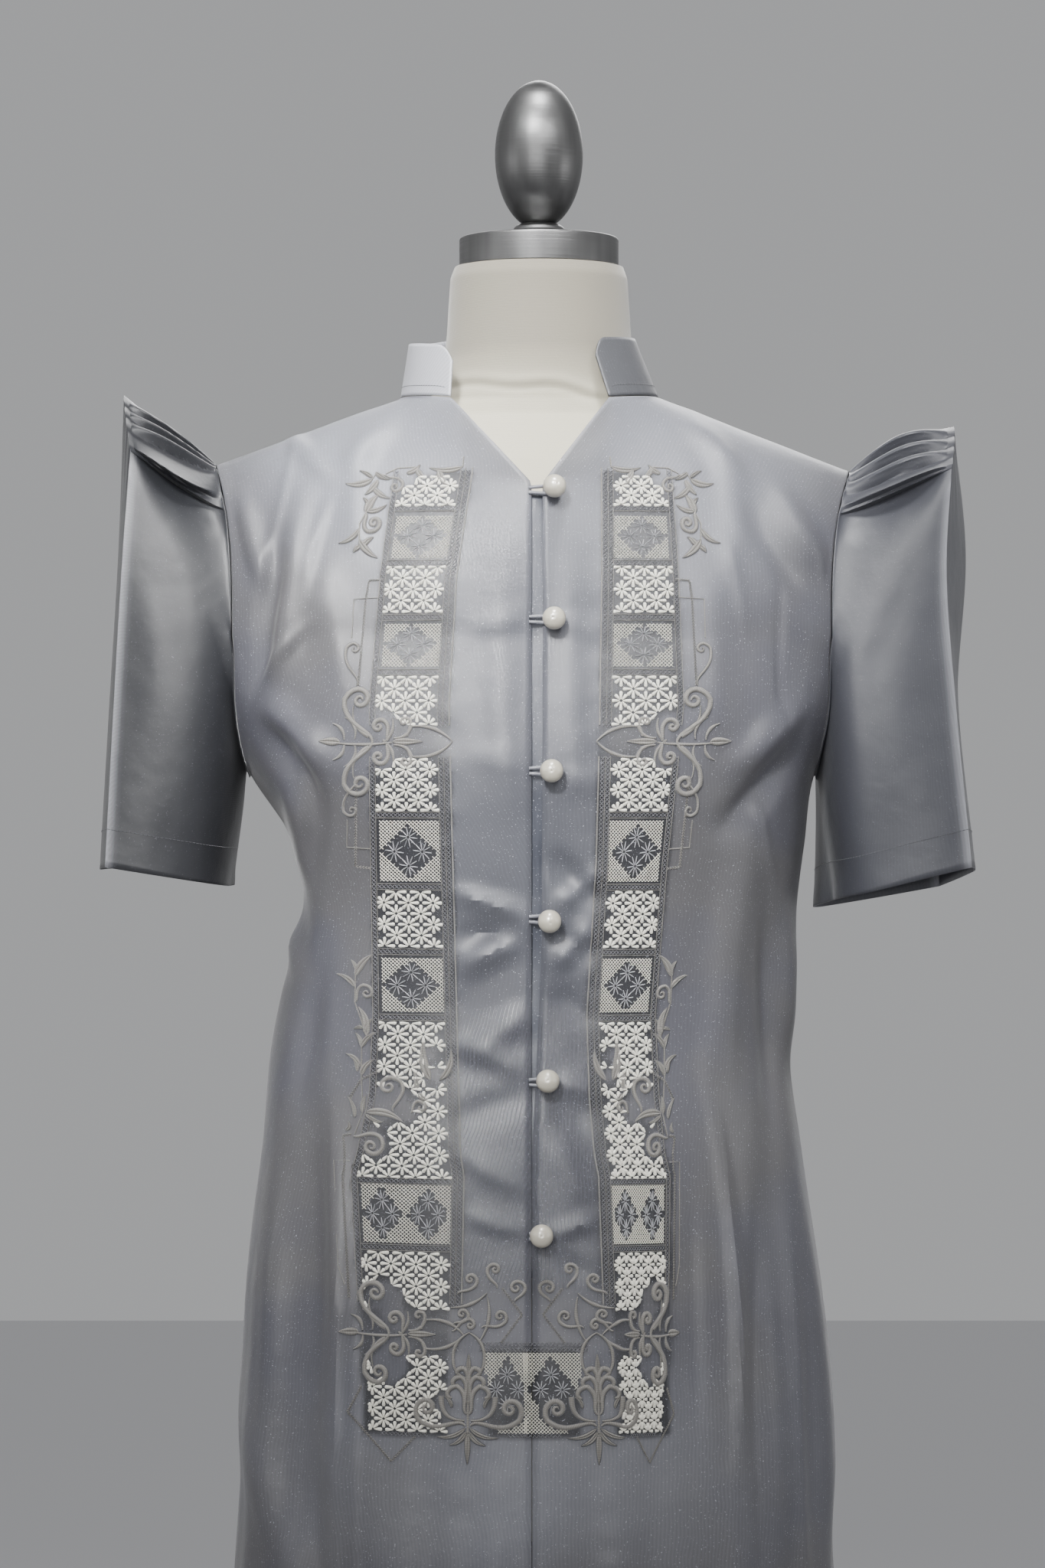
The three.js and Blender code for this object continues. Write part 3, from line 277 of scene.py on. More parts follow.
@dataclass(frozen=True)
class WornForm:
    """The dress's outline on the form, the same as that of its solids."""

    neck_point: float = 1353.0
    hem: float = 400.0
    chest: float = 1200.0
    armpit: float = 1112.0
    roundness: float = 2.3
    neck_shift: float = -6.0
    neck_half_width: float = 83.0
    neck_front_depth: float = 77.7
    neck_back_depth: float = 66.0
    neck_back_rise: float = 11.0
    collar_end_half_width: float = 50.0
    collar_end_drop: float = 4.0
    v_point: float = 1293.0
    front_share: float = 0.25
    back_share: float = 0.42
    seam: float = 0.4

    def tip(self, side: Side) -> tuple[float, float]:
        """The shoulder tip's reach and height."""
        return (206.0, 1311.0) if side is Side.RIGHT else (198.0, 1307.0)

    def armhole_depth(self, face: Face) -> float:
        """Half the armhole's depth in front or behind."""
        return 62.0 if face is Face.FRONT else 64.0

    @property
    def collar_end(self) -> float:
        """The neckline's angle at a front end of the collar."""
        return math.asin(self.collar_end_half_width / self.neck_half_width)

    def folds(self, angle: Array, z: Array) -> Array:
        """Sum of the standing folds: bells round the body that open as the height falls.

        Args:
            angle: Angles from the centre front.
            z: Heights.

        Returns:
            How far the cloth stands out.
        """
        degrees = (np.degrees(angle) + 90.0) % 360.0 - 90.0
        return sum(
            fold.height
            * smoothstep(fold.starts - z, 0.0, fold.starts - fold.full)
            * bell(degrees - fold.angle, fold.spread)
            for fold in FOLDS
        )

    def drapes(self, x: Array, z: Array) -> Array:
        """Sum of the slanting drapes: bells across a line that fade at its ends.

        Args:
            x: Places across.
            z: Heights.

        Returns:
            How far the cloth stands out.
        """
        total = np.zeros(np.broadcast(x, z).shape)
        for top_x, top_z, end_x, end_z, spread, height in DRAPES:
            run_x, run_z = end_x - top_x, end_z - top_z
            length = math.hypot(run_x, run_z)
            along = ((x - top_x) * run_x + (z - top_z) * run_z) / length**2
            across = ((x - top_x) * run_z - (z - top_z) * run_x) / length
            total += height * np.exp(-(((along - 0.5) / 0.45) ** 4)) * bell(across, spread)
        return total

    def body(self, angle: Array, z: Array) -> Array:
        """Points below the chest: superellipse sections with the folds' height added outwards.

        Args:
            angle: Round the body from the centre front, a quarter turn at the wearer's left.
            z: Heights.

        Returns:
            Points with x, y and z last.
        """
        angle, z = np.broadcast_arrays(angle, z)
        s, c = np.sin(angle), np.cos(angle)
        reach = np.where(s < 0, BODY.smooth("right", z), BODY.smooth("left", z))
        depth = np.where(c > 0, BODY.smooth("front", z), BODY.smooth("back", z))
        x = np.sign(s) * reach * np.abs(s) ** (2 / self.roundness)
        y = -np.sign(c) * depth * np.abs(c) ** (2 / self.roundness)
        grown = 1 + self.folds(angle, z) / np.hypot(x, y)
        drape = self.drapes(x, z) * np.sqrt(np.clip(c, 0, 1))
        return join(x * grown, y * grown - drape, z)

    def angle_of(self, x: Array, z: Array) -> Array:
        """The angle at which the front of the section has a given x.

        Args:
            x: Places across.
            z: Heights.

        Returns:
            Angles from the centre front.
        """
        x, z = np.broadcast_arrays(np.asarray(x, float), z)
        reach = np.where(x < 0, BODY.smooth("right", z), BODY.smooth("left", z))
        share = np.minimum(np.abs(x) / reach, 1.0)
        return np.sign(x) * np.arcsin(share ** (self.roundness / 2))

    def armhole_angle(self, face: Face, z: Array) -> Array:
        """The angle of the armhole's edge between the armpit and the chest line.

        Args:
            face: Front or back.
            z: Heights.

        Returns:
            Angles from the centre front.
        """
        drop = self.chest - self.armpit
        y = self.armhole_depth(face) * np.sqrt(np.clip(1 - ((self.chest - z) / drop) ** 2, 0, 1))
        return np.arccos((y / BODY.smooth(face.word, z)) ** (self.roundness / 2))

    def armhole(self, side: Side, face: Face, turn: Array) -> Array:
        """The armhole's edge: a quarter turn at the shoulder, 0 at the chest, less to the armpit.

        Args:
            side: Wearer's side.
            face: Front or back half of the armhole.
            turn: Radians, from minus a quarter to a quarter.

        Returns:
            Points of the edge.
        """
        turn = np.asarray(turn, float)
        away = face.value
        reach, height = self.tip(side)
        y = away * self.armhole_depth(face) * np.cos(turn)
        low_z = self.chest + (self.chest - self.armpit) * np.sin(turn)
        rest = np.clip(1 - (np.abs(y) / BODY.smooth(face.word, low_z)) ** self.roundness, 0, 1)
        low_x = BODY.smooth(side.word, low_z) * rest ** (1 / self.roundness)
        chest = np.array(self.chest)
        full = (self.armhole_depth(face) / BODY.smooth(face.word, chest)) ** self.roundness
        chest_x = float(BODY.smooth(side.word, chest) * (1 - full) ** (1 / self.roundness))
        rise = np.clip(np.sin(turn), 0, 1)
        x = np.where(turn > 0, mix(chest_x, reach, rise**3), low_x)
        z = np.where(turn > 0, self.chest + (height - self.chest) * rise, low_z)
        return join(side.value * x, y, z)

    def neckline(self, angle: Array) -> Array:
        """The neckline: an ellipse from above that drops to the front ends and rises behind.

        Args:
            angle: Angles from the centre front.

        Returns:
            Points of the neckline.
        """
        s, c = np.sin(angle), np.cos(angle)
        span = 1 - self.collar_end_half_width / self.neck_half_width
        rise = np.where(c > 0, -self.collar_end_drop * (1 - np.abs(s)) / span, self.neck_back_rise * c**2)
        depth = np.where(c > 0, self.neck_front_depth, self.neck_back_depth)
        x = self.neck_shift + self.neck_half_width * s
        return join(x, -depth * c, self.neck_point + rise)

    def top_edge(self, side: Side, face: Face, share: Array) -> Array:
        """A panel's top edge: along the neckline first, then straight down the shoulder seam.

        Args:
            side: Wearer's side.
            face: Front or back.
            share: Places from the centre to the shoulder tip.

        Returns:
            Points of the edge.
        """
        start = self.collar_end if face is Face.FRONT else math.pi
        neck_share = self.front_share if face is Face.FRONT else self.back_share
        t = np.clip(share / neck_share, 0, 1)
        neck = self.neckline(side.value * mix(start, QUARTER, t))
        reach, height = self.tip(side)
        end = np.array([side.value * reach, 0.0, height])
        root = self.neckline(np.array(side.value * QUARTER))
        seam_t = np.clip((share - neck_share) / (1 - neck_share), 0, 1)[..., None]
        return np.where((share <= neck_share)[..., None], neck, mix(root, end, seam_t))

    def yoke(self, side: Side, face: Face, chest_row: Array, share: Array, up: Array) -> Array:
        """Points above the chest: each column is a quarter ellipse from its chest point up.

        Args:
            side: Wearer's side.
            face: Front or back.
            chest_row: Points of the chest line, one for each column.
            share: The columns' places from the centre to the armhole.
            up: Rows from 0 at the chest to 1 at the top edge.

        Returns:
            Rows by columns of points.
        """
        turn = up[:, None] * QUARTER
        top = self.top_edge(side, face, share)
        z = self.chest + (top[:, 2] - self.chest) * np.sin(turn)
        y = top[:, 1] + (chest_row[:, 1] - top[:, 1]) * np.cos(turn)
        outer = self.armhole(side, face, turn)[..., 0]
        chest_outer = float(self.armhole(side, face, np.array(0.0))[0])
        if face is Face.FRONT:
            end = self.top_edge(side, face, np.zeros(1))[0]
            chest_inner, top_inner = float(OPENING.straight(side.word, self.chest)), float(end[0])
            height = self.chest + (end[2] - self.chest) * np.sin(turn)
            rise = np.clip(height - self.v_point, 0, None) / (end[2] - self.v_point)
            inner = mix(chest_inner, top_inner, rise)
        else:
            chest_inner, top_inner = 0.0, self.neck_shift
            inner = mix(chest_inner, top_inner, up[:, None])
        chest_share = (chest_row[:, 0] - chest_inner) / (chest_outer - chest_inner)
        top_share = (top[:, 0] - top_inner) / (side.value * self.tip(side)[0] - top_inner)
        x = mix(inner, outer, mix(chest_share, top_share, up[:, None] ** 1.5))
        if face is Face.FRONT:
            y = y - (self.drapes(x, z) - self.drapes(chest_row[:, 0], chest_row[:, 2])) * np.cos(turn)
        return join(x, y, z)

    def half_panel(self, side: Side, face: Face, columns: int, spacing: float) -> Array:
        """Half of the front or back from the centre outwards, hem to shoulder.

        Args:
            side: Wearer's side.
            face: Front or back.
            columns: Columns from the centre to the side seam.
            spacing: Rough distance of the rows.

        Returns:
            Rows by columns of points.
        """
        low = np.linspace(self.hem, self.armpit, round((self.armpit - self.hem) / spacing))
        sweep = np.linspace(0, QUARTER, round((self.chest - self.armpit) / spacing * 1.5))[1:]
        high = self.armpit + (self.chest - self.armpit) * (1 - np.cos(sweep))
        z = np.concatenate([low, high])[:, None]
        edge = np.where(z > self.armpit, self.armhole_angle(face, z), QUARTER)
        if face is Face.FRONT:
            inner = self.angle_of(OPENING.straight(side.word, z), z)
            outer = side.value * edge
        else:
            inner = np.full_like(z, side.value * math.pi)
            outer = side.value * (math.pi - edge)
        u = np.linspace(0, 1, columns)[None, :]
        skirt = self.body(mix(inner, outer, u), z)
        chest_row = skirt[-1]
        share = np.abs(chest_row[:, 0] - chest_row[0, 0]) / abs(chest_row[-1, 0] - chest_row[0, 0])
        up = np.linspace(0, 1, round((self.neck_point - self.chest) / spacing * 1.3))[1:]
        points = np.concatenate([skirt, self.yoke(side, face, chest_row, share, up)])
        points = self.eased(points, len(skirt))
        points[..., 1] += face.value * self.seam / 2
        return points

    def eased(self, points: Array, first: int, passes: int = 70) -> Array:
        """Eases the kink that runs down from the shoulder's neck end, by averaging along the rows.

        Args:
            points: A half panel's points.
            first: The first row above the chest.
            passes: How often neighbours are averaged.

        Returns:
            The eased points, with the edges and the top row as they were.
        """
        rows = np.linspace(0, 1, len(points) - first + 1)[1:]
        share = (0.5 * smoothstep(rows, 0, 0.3) * (1 - smoothstep(rows, 0.8, 1.0)))[:, None, None]
        for _ in range(passes):
            high = points[first:]
            middle = (high[:, :-2] + high[:, 2:]) / 2
            points[first:, 1:-1] = mix(high[:, 1:-1], middle, share)
        return points


def grid_normals(points: Array, closed: bool = False) -> Array:
    """Unit normals of a grid: the column's direction crossed with the row's.

    Args:
        points: Rows by columns of points.
        closed: Whether the last column joins the first.

    Returns:
        One normal for each point.
    """
    if closed:
        along = np.roll(points, -1, axis=1) - np.roll(points, 1, axis=1)
    else:
        along = np.gradient(points, axis=1)
    normal = np.cross(along, np.gradient(points, axis=0))
    return normal / np.maximum(np.linalg.norm(normal, axis=-1, keepdims=True), 1e-9)


def grid_faces(rows: int, columns: int, closed: bool = False) -> Array:
    """Quads of a grid, each as lower left, lower right, upper right, upper left.

    Args:
        rows: Rows of points.
        columns: Columns of points.
        closed: Whether the last column joins the first.

    Returns:
        Corner numbers, four for each quad.
    """
    i, j = np.meshgrid(np.arange(rows - 1), np.arange(columns if closed else columns - 1), indexing="ij")
    k = (j + 1) % columns
    corners = (i * columns + j, i * columns + k, (i + 1) * columns + k, (i + 1) * columns + j)
    return join(*corners).reshape(-1, 4)


def grid_uv(points: Array) -> Array:
    """The cloth's own coordinates in millimetres: length walked along the rows and up the columns.

    Args:
        points: Rows by columns of points.

    Returns:
        Two lengths at each point.
    """
    across = np.linalg.norm(np.diff(points, axis=1), axis=-1)
    up = np.linalg.norm(np.diff(points, axis=0), axis=-1)
    u = np.concatenate([np.zeros((len(points), 1)), np.cumsum(across, axis=1)], axis=1)
    v = np.concatenate([np.zeros((1, points.shape[1])), np.cumsum(up, axis=0)], axis=0)
    return join(u, v)


def make_piece(
    name: str,
    points: Array,
    faces: Array,
    material: Material,
    uv: Array | None = None,
    paint: dict[str, Array] | None = None,
    sharp: float = 35.0,
) -> bpy.types.Object:
    """Makes a mesh object, shades it smooth but for its sharp edges, and lets it ride on the part.

    Args:
        name: The piece's name.
        points: Vertices in millimetres.
        faces: Vertex numbers, four for each face; a repeated last number makes a triangle.
        material: Its material.
        uv: Millimetres of cloth or thread at each vertex.
        paint: Named shares at each vertex, for the material.
        sharp: Edges that turn more than this many degrees stay sharp.

    Returns:
        The object.
    """
    mesh = bpy.data.meshes.new(name)
    corners = [tuple(dict.fromkeys(face)) for face in faces.tolist()]
    mesh.from_pydata((points.reshape(-1, 3) * MM).tolist(), [], corners)
    if uv is not None:
        loops = np.zeros(len(mesh.loops), np.int32)
        mesh.loops.foreach_get("vertex_index", loops)
        layer = mesh.uv_layers.new(name="cloth")
        layer.data.foreach_set("uv", uv.astype(np.float32).reshape(-1, 2)[loops].ravel())
    for key, shares in (paint or {}).items():
        attribute = mesh.attributes.new(key, "FLOAT", "POINT")
        attribute.data.foreach_set("value", shares.astype(np.float32).ravel())
    mesh.polygons.foreach_set("use_smooth", np.ones(len(mesh.polygons), bool))
    mesh.set_sharp_from_angle(angle=math.radians(sharp))
    mesh.materials.append(material)
    mesh.update()
    piece = bpy.data.objects.new(name, mesh)
    bpy.context.scene.collection.objects.link(piece)
    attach(piece, "root")
    LOG.info("%s: %d faces", name, len(mesh.polygons))
    return piece


def make_cloth(
    node: str,
    grid: Array,
    material: Material,
    wall: float,
    paint: dict[str, Array],
    closed: bool = False,
    sharp: float = 35.0,
) -> bpy.types.Object:
    """Makes a sheet of cloth in place of a solid, thickened inwards from its surface.

    Args:
        node: The solid that it stands for.
        grid: Rows by columns of points.
        material: Its material.
        wall: Its thickness.
        paint: Named shares at each point, for the material.
        closed: Whether the last column joins the first.
        sharp: Edges that turn more than this many degrees stay sharp.

    Returns:
        The object.
    """
    faces = grid_faces(*grid.shape[:2], closed)
    piece = make_piece(f"{node}_cloth", grid, faces, material, grid_uv(grid), paint, sharp)
    solid = piece.modifiers.new("wall", "SOLIDIFY")
    solid.thickness = wall * MM
    solid.offset = -1.0
    solid.use_even_offset = False
    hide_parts(node)
    return piece


def linear(hex_colour: str) -> tuple[float, float, float, float]:
    """Turns an sRGB hex colour into linear light, with an alpha of 1.

    Args:
        hex_colour: A hash sign and six digits.

    Returns:
        Red, green, blue and alpha.
    """
    shares = [int(hex_colour[k : k + 2], 16) / 255 for k in (1, 3, 5)]
    light = [s / 12.92 if s <= 0.04045 else ((s + 0.055) / 1.055) ** 2.4 for s in shares]
    return light[0], light[1], light[2], 1.0


def fill(node: bpy.types.Node, inputs: dict[str | int, object]) -> None:
    """Links the inputs that are given a socket, and sets the others.

    Args:
        node: The node.
        inputs: A value, or a socket to link, under each input's name or number.
    """
    for key, value in inputs.items():
        if isinstance(value, Socket):
            node.id_data.links.new(value, node.inputs[key])
        else:
            node.inputs[key].default_value = value


def add_node(
    tree: bpy.types.NodeTree,
    kind: str,
    inputs: dict[str | int, object] | None = None,
    out: str | int = 0,
    **settings: object,
) -> Socket:
    """Adds a shader node with its settings and links.

    Args:
        tree: The material's node tree.
        kind: The node's type, without the word that all of them start with.
        inputs: A value, or a socket to link, under each input's name or number.
        out: The output's name or number.
        **settings: The node's own properties.

    Returns:
        The output.
    """
    node = tree.nodes.new(f"ShaderNode{kind}")
    for name, value in settings.items():
        setattr(node, name, value)
    fill(node, inputs or {})
    return node.outputs[out]


def new_material(name: str) -> tuple[Material, Callable[..., Socket], bpy.types.Node]:
    """Makes a material and returns it, add_node for its tree, and its shader.

    Args:
        name: Its name.

    Returns:
        The material, the function and the shader.
    """
    material = bpy.data.materials.new(name)
    material.use_nodes = True
    return material, partial(add_node, material.node_tree), material.node_tree.nodes["Principled BSDF"]


@dataclass(frozen=True)
class Organza:
    """Plain-woven filament organza: crisp, sheer, with a watery lustre and small painted glints.

    Seen from near it has a fine even weave, and where two layers cross it shows faint moire.
    """

    name: str
    single: str = "#5A5A62"
    double_and_painted_shade: str = "#4B4C54"
    warm: str = "#605F62"
    backed_and_painted_light: str = "#85878F"
    openwork_painted_shade: str = "#313237"
    painted_glint: str = "#E6E9F5"
    opacity: float = 0.72
    thread: float = 1.0
    moire: float = 7.5
    roughness: float = 0.4
    lustre: float = 0.17
    painted_glint_share: float = 0.5

    def build(self) -> Material:
        """Colour by layers, painted light and shade, soft clouds and painted glints, and a bump of crossed
        threads 0.6 mm apart.
        """
        material, add, shader = new_material(self.name)
        cloth = add("UVMap", out="UV", uv_map="cloth")
        place = add("TexCoord", out="Object")
        clouds = add("TexNoise", {"Vector": place, "Scale": 11.0, "Detail": 2.0})
        cloud = add("MapRange", {"Value": clouds, "From Min": 0.42, "From Max": 0.6})
        colour = add("Mix", {0: cloud, 6: linear(self.single), 7: linear(self.warm)}, 2, data_type="RGBA")
        # Layer colours: a second layer behind, also painted shade on the right sleeve; the pale form seen
        # through, also painted light; painted shade under the embroidery.
        for paint, tint in (("facing_and_painted_shade", self.double_and_painted_shade), ("form_through_and_painted_light", self.backed_and_painted_light), ("openwork_painted_shade", self.openwork_painted_shade)):
            share = add("Attribute", out="Fac", attribute_name=paint)
            colour = add("Mix", {0: share, 6: colour, 7: linear(tint)}, 2, data_type="RGBA")
        bands = {
            "Vector": cloth, "Scale": 1.0 / self.moire, "Distortion": 5.0,
            "Detail": 1.0, "Detail Scale": 0.4,
        }
        water = add("TexWave", bands, "Fac", bands_direction="X")
        shade = add("MapRange", {"Value": water, "To Min": 0.92, "To Max": 1.06})
        colour = add("Mix", {0: 1.0, 6: colour, 7: shade}, 2, data_type="RGBA", blend_type="MULTIPLY")
        # Painted glints: fine near-white specks mixed into the base colour.
        glint_noise = add("TexNoise", {"Vector": place, "Scale": 1400.0, "Detail": 0.0})
        painted_glint_mask = add("MapRange", {"Value": glint_noise, "From Min": 0.755, "From Max": 0.83, "To Max": self.painted_glint_share})
        colour = add("Mix", {0: painted_glint_mask, 6: colour, 7: linear(self.painted_glint)}, 2, data_type="RGBA")
        rough = add("MapRange", {"Value": water, "To Min": self.roughness, "To Max": self.roughness + 0.1})
        warp, weft = (
            add("TexWave", {"Vector": cloth, "Scale": 0.5 / self.thread}, "Fac", bands_direction=way)
            for way in ("X", "Y")
        )
        weave = add("Math", {0: warp, 1: weft}, operation="ADD")
        rumple = add("TexNoise", {"Vector": place, "Scale": 34.0, "Detail": 4.0})
        fine = add("Bump", {"Height": weave, "Strength": 0.07, "Distance": 0.0003})
        soft = add("Bump", {"Height": rumple, "Strength": 0.5, "Distance": 0.0025, "Normal": fine})
        fill(shader, {
            "Base Color": colour, "Roughness": rough, "Normal": soft, "Alpha": self.opacity,
            "Sheen Weight": self.lustre, "Sheen Roughness": 0.35, "Specular IOR Level": 0.7,
        })
        return material


@dataclass(frozen=True)
class Thread:
    """Rayon embroidery thread laid in satin stitches: each stitch is a fine ridge across the line."""

    name: str
    colour: str
    shadow: str
    roughness: float = 0.5
    sheen: float = 0.3
    stitch: float = 1.1

    def build(self) -> Material:
        """Ridges across the stitched line, 0.7 mm apart, with darker furrows."""
        material, add, shader = new_material(self.name)
        cloth = add("UVMap", out="UV", uv_map="cloth")
        ridge = add("TexWave", {"Vector": cloth, "Scale": 0.5 / self.stitch}, "Fac", bands_direction="X")
        share = add("MapRange", {"Value": ridge, "From Min": 0.0, "From Max": 0.5})
        colour = add("Mix", {0: share, 6: linear(self.shadow), 7: linear(self.colour)}, 2, data_type="RGBA")
        bump = add("Bump", {"Height": ridge, "Strength": 0.5, "Distance": 0.0003})
        fill(shader, {
            "Base Color": colour, "Normal": bump, "Roughness": self.roughness, "Sheen Weight": self.sheen,
        })
        return material


@dataclass(frozen=True)
class Jersey:
    """Cream cotton jersey stretched over the padded form: matt, with fine knitted ribs."""

    name: str = "form_jersey"
    colour: str = "#B6B19F"
    shadow: str = "#A7A290"
    painted_neck_shade: str = "#827D70"
    roughness: float = 0.88
    sheen: float = 0.35

    def build(self) -> Material:
        """Soft clouds of colour, painted shade over the neck, and ribs 0.9 mm apart."""
        material, add, shader = new_material(self.name)
        place = add("TexCoord", out="Object")
        clouds = add("TexNoise", {"Vector": place, "Scale": 16.0, "Detail": 4.0})
        colour = add("Mix", {0: clouds, 6: linear(self.shadow), 7: linear(self.colour)}, 2, data_type="RGBA")
        height = add("SeparateXYZ", {0: place}, 2)
        # Painted shade: the neck turns darker above 1.345 m.
        neck = add("MapRange", {"Value": height, "From Min": 1.345, "From Max": 1.385})
        colour = add("Mix", {0: neck, 6: colour, 7: linear(self.painted_neck_shade)}, 2, data_type="RGBA")
        ribs = add("TexWave", {"Vector": place, "Scale": 360.0}, "Fac", bands_direction="Z")
        pile = add("TexNoise", {"Vector": place, "Scale": 700.0, "Detail": 2.0})
        knit = add("Bump", {"Height": ribs, "Strength": 0.08, "Distance": 0.0004})
        bump = add("Bump", {"Height": pile, "Strength": 0.15, "Distance": 0.0005, "Normal": knit})
        fill(shader, {
            "Base Color": colour, "Normal": bump, "Roughness": self.roughness, "Sheen Weight": self.sheen,
        })
        return material


@dataclass(frozen=True)
class BrushedSteel:
    """Steel turned and brushed on a lathe: fine lines run round it and streak the light along it."""

    name: str = "brushed_steel"
    colour: str = "#7E7E7E"
    shadow: str = "#595959"
    line: float = 1.3
    streak: float = 9.0

    def build(self) -> Material:
        """Noise stretched round the axis for the brush lines, 1.3 mm apart, and along it for streaks."""
        material, add, shader = new_material(self.name)
        place = add("TexCoord", out="Object")
        wide = 1000.0 / self.streak
        ring = add("Mapping", {"Vector": place, "Scale": (6.0, 6.0, 1000.0 / self.line)})
        tall = add("Mapping", {"Vector": place, "Scale": (wide, wide, 7.0)})
        lines = add("TexNoise", {"Vector": ring, "Scale": 1.0, "Detail": 3.0})
        streaks = add("TexNoise", {"Vector": tall, "Scale": 1.0, "Detail": 2.0})
        shades = {0: streaks, 6: linear(self.shadow), 7: linear(self.colour)}
        colour = add("Mix", shades, 2, data_type="RGBA")
        rough = add("MapRange", {"Value": lines, "To Min": 0.3, "To Max": 0.5})
        bump = add("Bump", {"Height": lines, "Strength": 0.18, "Distance": 0.0004})
        fill(shader, {
            "Base Color": colour, "Roughness": rough, "Normal": bump, "Metallic": 1.0, "Anisotropic": 0.5,
        })
        return material


@dataclass(frozen=True)
class Pearl:
    """Imitation pearl: a lacquered bead with a warm white body and a soft deep gloss."""

    name: str = "pearl"
    colour: str = "#BBB5A5"
    rose: str = "#A8A394"

    def build(self) -> Material:
        """Two near whites in slow clouds under a clear coat."""
        material, add, shader = new_material(self.name)
        place = add("TexCoord", out="Object")
        clouds = add("TexNoise", {"Vector": place, "Scale": 110.0, "Detail": 1.0})
        colour = add("Mix", {0: clouds, 6: linear(self.colour), 7: linear(self.rose)}, 2, data_type="RGBA")
        fill(shader, {
            "Base Color": colour, "Roughness": 0.36, "Specular IOR Level": 1.0,
            "Coat Weight": 1.0, "Coat Roughness": 0.17, "Coat IOR": 1.68,
        })
        return material


STRIP = Organza("organza_strip", single="#3E414B", double_and_painted_shade="#3E414B", warm="#44464F", opacity=1.0)
# The sleeves' and collar's organza: its double colour also paints the right sleeve's shade, and its pale
# tint paints light on the collar and along the sleeves' creases.
STIFF = Organza(
    "organza_sleeve", single="#484950", double_and_painted_shade="#2B2C30", warm="#4E4F56", backed_and_painted_light="#A9AAB0",
    opacity=0.94, lustre=0.08, painted_glint_share=0.1,
)
CORD = Organza("organza_cord", single="#66676E", double_and_painted_shade="#66676E", warm="#6B6B71", opacity=1.0)


@dataclass(frozen=True)
class Finishes:
    """Every material of the dress and its form, made once."""

    organza: Material = field(default_factory=Organza("organza").build)
    strip: Material = field(default_factory=STRIP.build)
    stiff: Material = field(default_factory=STIFF.build)
    cord: Material = field(default_factory=CORD.build)
    silver: Material = field(default_factory=Thread("thread_silver", "#737378", "#4C4C51").build)
    pale: Material = field(default_factory=Thread("thread_pale_silver", "#BEBEC2", "#8E8E93").build)
    white: Material = field(default_factory=Thread("thread_white", "#F1EEE3", "#B9B6A9").build)
    grey: Material = field(default_factory=Thread("thread_grey", "#83807B", "#45433F").build)
    # Slate thread; the strips of painted shadow under the satin use it too.
    slate: Material = field(default_factory=Thread("thread_slate_and_painted_shadow", "#4C4D53", "#2E2F33").build)
    jersey: Material = field(default_factory=Jersey().build)
    steel: Material = field(default_factory=BrushedSteel().build)
    pearl: Material = field(default_factory=Pearl().build)


class Relief:
    """The creases, puckers and slow rumples of a panel over its plan."""

    def __init__(self, creases: Sequence[Crease], face: Face) -> None:
        """Keeps the creases and which face they are on.

        Args:
            creases: The creases of this face.
            face: Front or back.
        """
        self.creases = creases
        self.face = face
        self.strength = 2.3 if face is Face.FRONT else 1.9

    def height(self, x: Array, z: Array) -> Array:
        """Sum of the creases, of slow waves, and in front of the puckers beside the bands.

        Args:
            x: Across the plan.
            z: Up the plan.

        Returns:
            How far the cloth stands out.
        """
        total = self.strength * sum(crease.relief(x, z) for crease in self.creases)
        if self.face is Face.FRONT:
            total = total * (1 - 0.42 * bell(x + 7, 52) * (1 - smoothstep(z, 930, 1000)))
        slow = np.sin(x / 31 + 1.7 * np.sin(z / 97)) * np.sin(z / 53 + 1.1 * np.sin(x / 44 + 2.0))
        quick = np.sin(x / 13 + 2.3 * np.sin(z / 71 + 1.0)) * np.sin(z / 118 + x / 60)
        total = total + 1.1 * slow + 0.45 * quick
        if self.face is Face.FRONT:
            for side in Side:
                edge = BAND.straight(f"{side.word}_inner", z)
                ripple = np.sin(z / 3.9 + 1.6 * np.sin(z / 17)) * np.sin(z / 61 + side.value)
                total = total + 0.38 * ripple * bell(x - edge + side.value * 6, 9.0)
        return total


# The white ground of the embroidered bands: the x of its edges down each front.
BAND = Table(
    "z right_inner right_outer left_inner left_outer",
    (700, -56.5, -104, 48.5, 74), (734, -56.1, -104.3, 48.3, 74.9), (800, -55, -108, 46, 76.5),
    (867, -53.8, -111.8, 43.6, 77.3), (880, -56, -108, 41, 74), (915, -57, -100.5, 38, 70),
    (964, -58.5, -98.7, 36.6, 67.9), (1059, -60.8, -100.1, 42.2, 74.9), (1156, -63.1, -100.6, 44.5, 84.3),
    (1235, -58.5, -94.5, 45.9, 81.9), (1300, -49.1, -86.5, 45.9, 78.7),
)
GROUND = Table("z width", (700, 50), (870, 50), (915, 37), (1310, 37))
# Places of the chart that scrolls cover, where the cloth isn't drawn and gets less painted shade: across,
# height, radius.
COVERED = (
    (34, 1297, 7.5), (37, 1290, 4), (33, 1142, 9), (33, 1124, 9), (30, 916, 9.5), (23, 907, 8.5),
    (38, 905, 9), (42, 886, 9), (10, 940, 5.5), (7, 928, 6), (37, 793, 11), (31, 781, 9), (37, 752, 12),
    (30, 763, 8), (0, 728, 8.5),
)


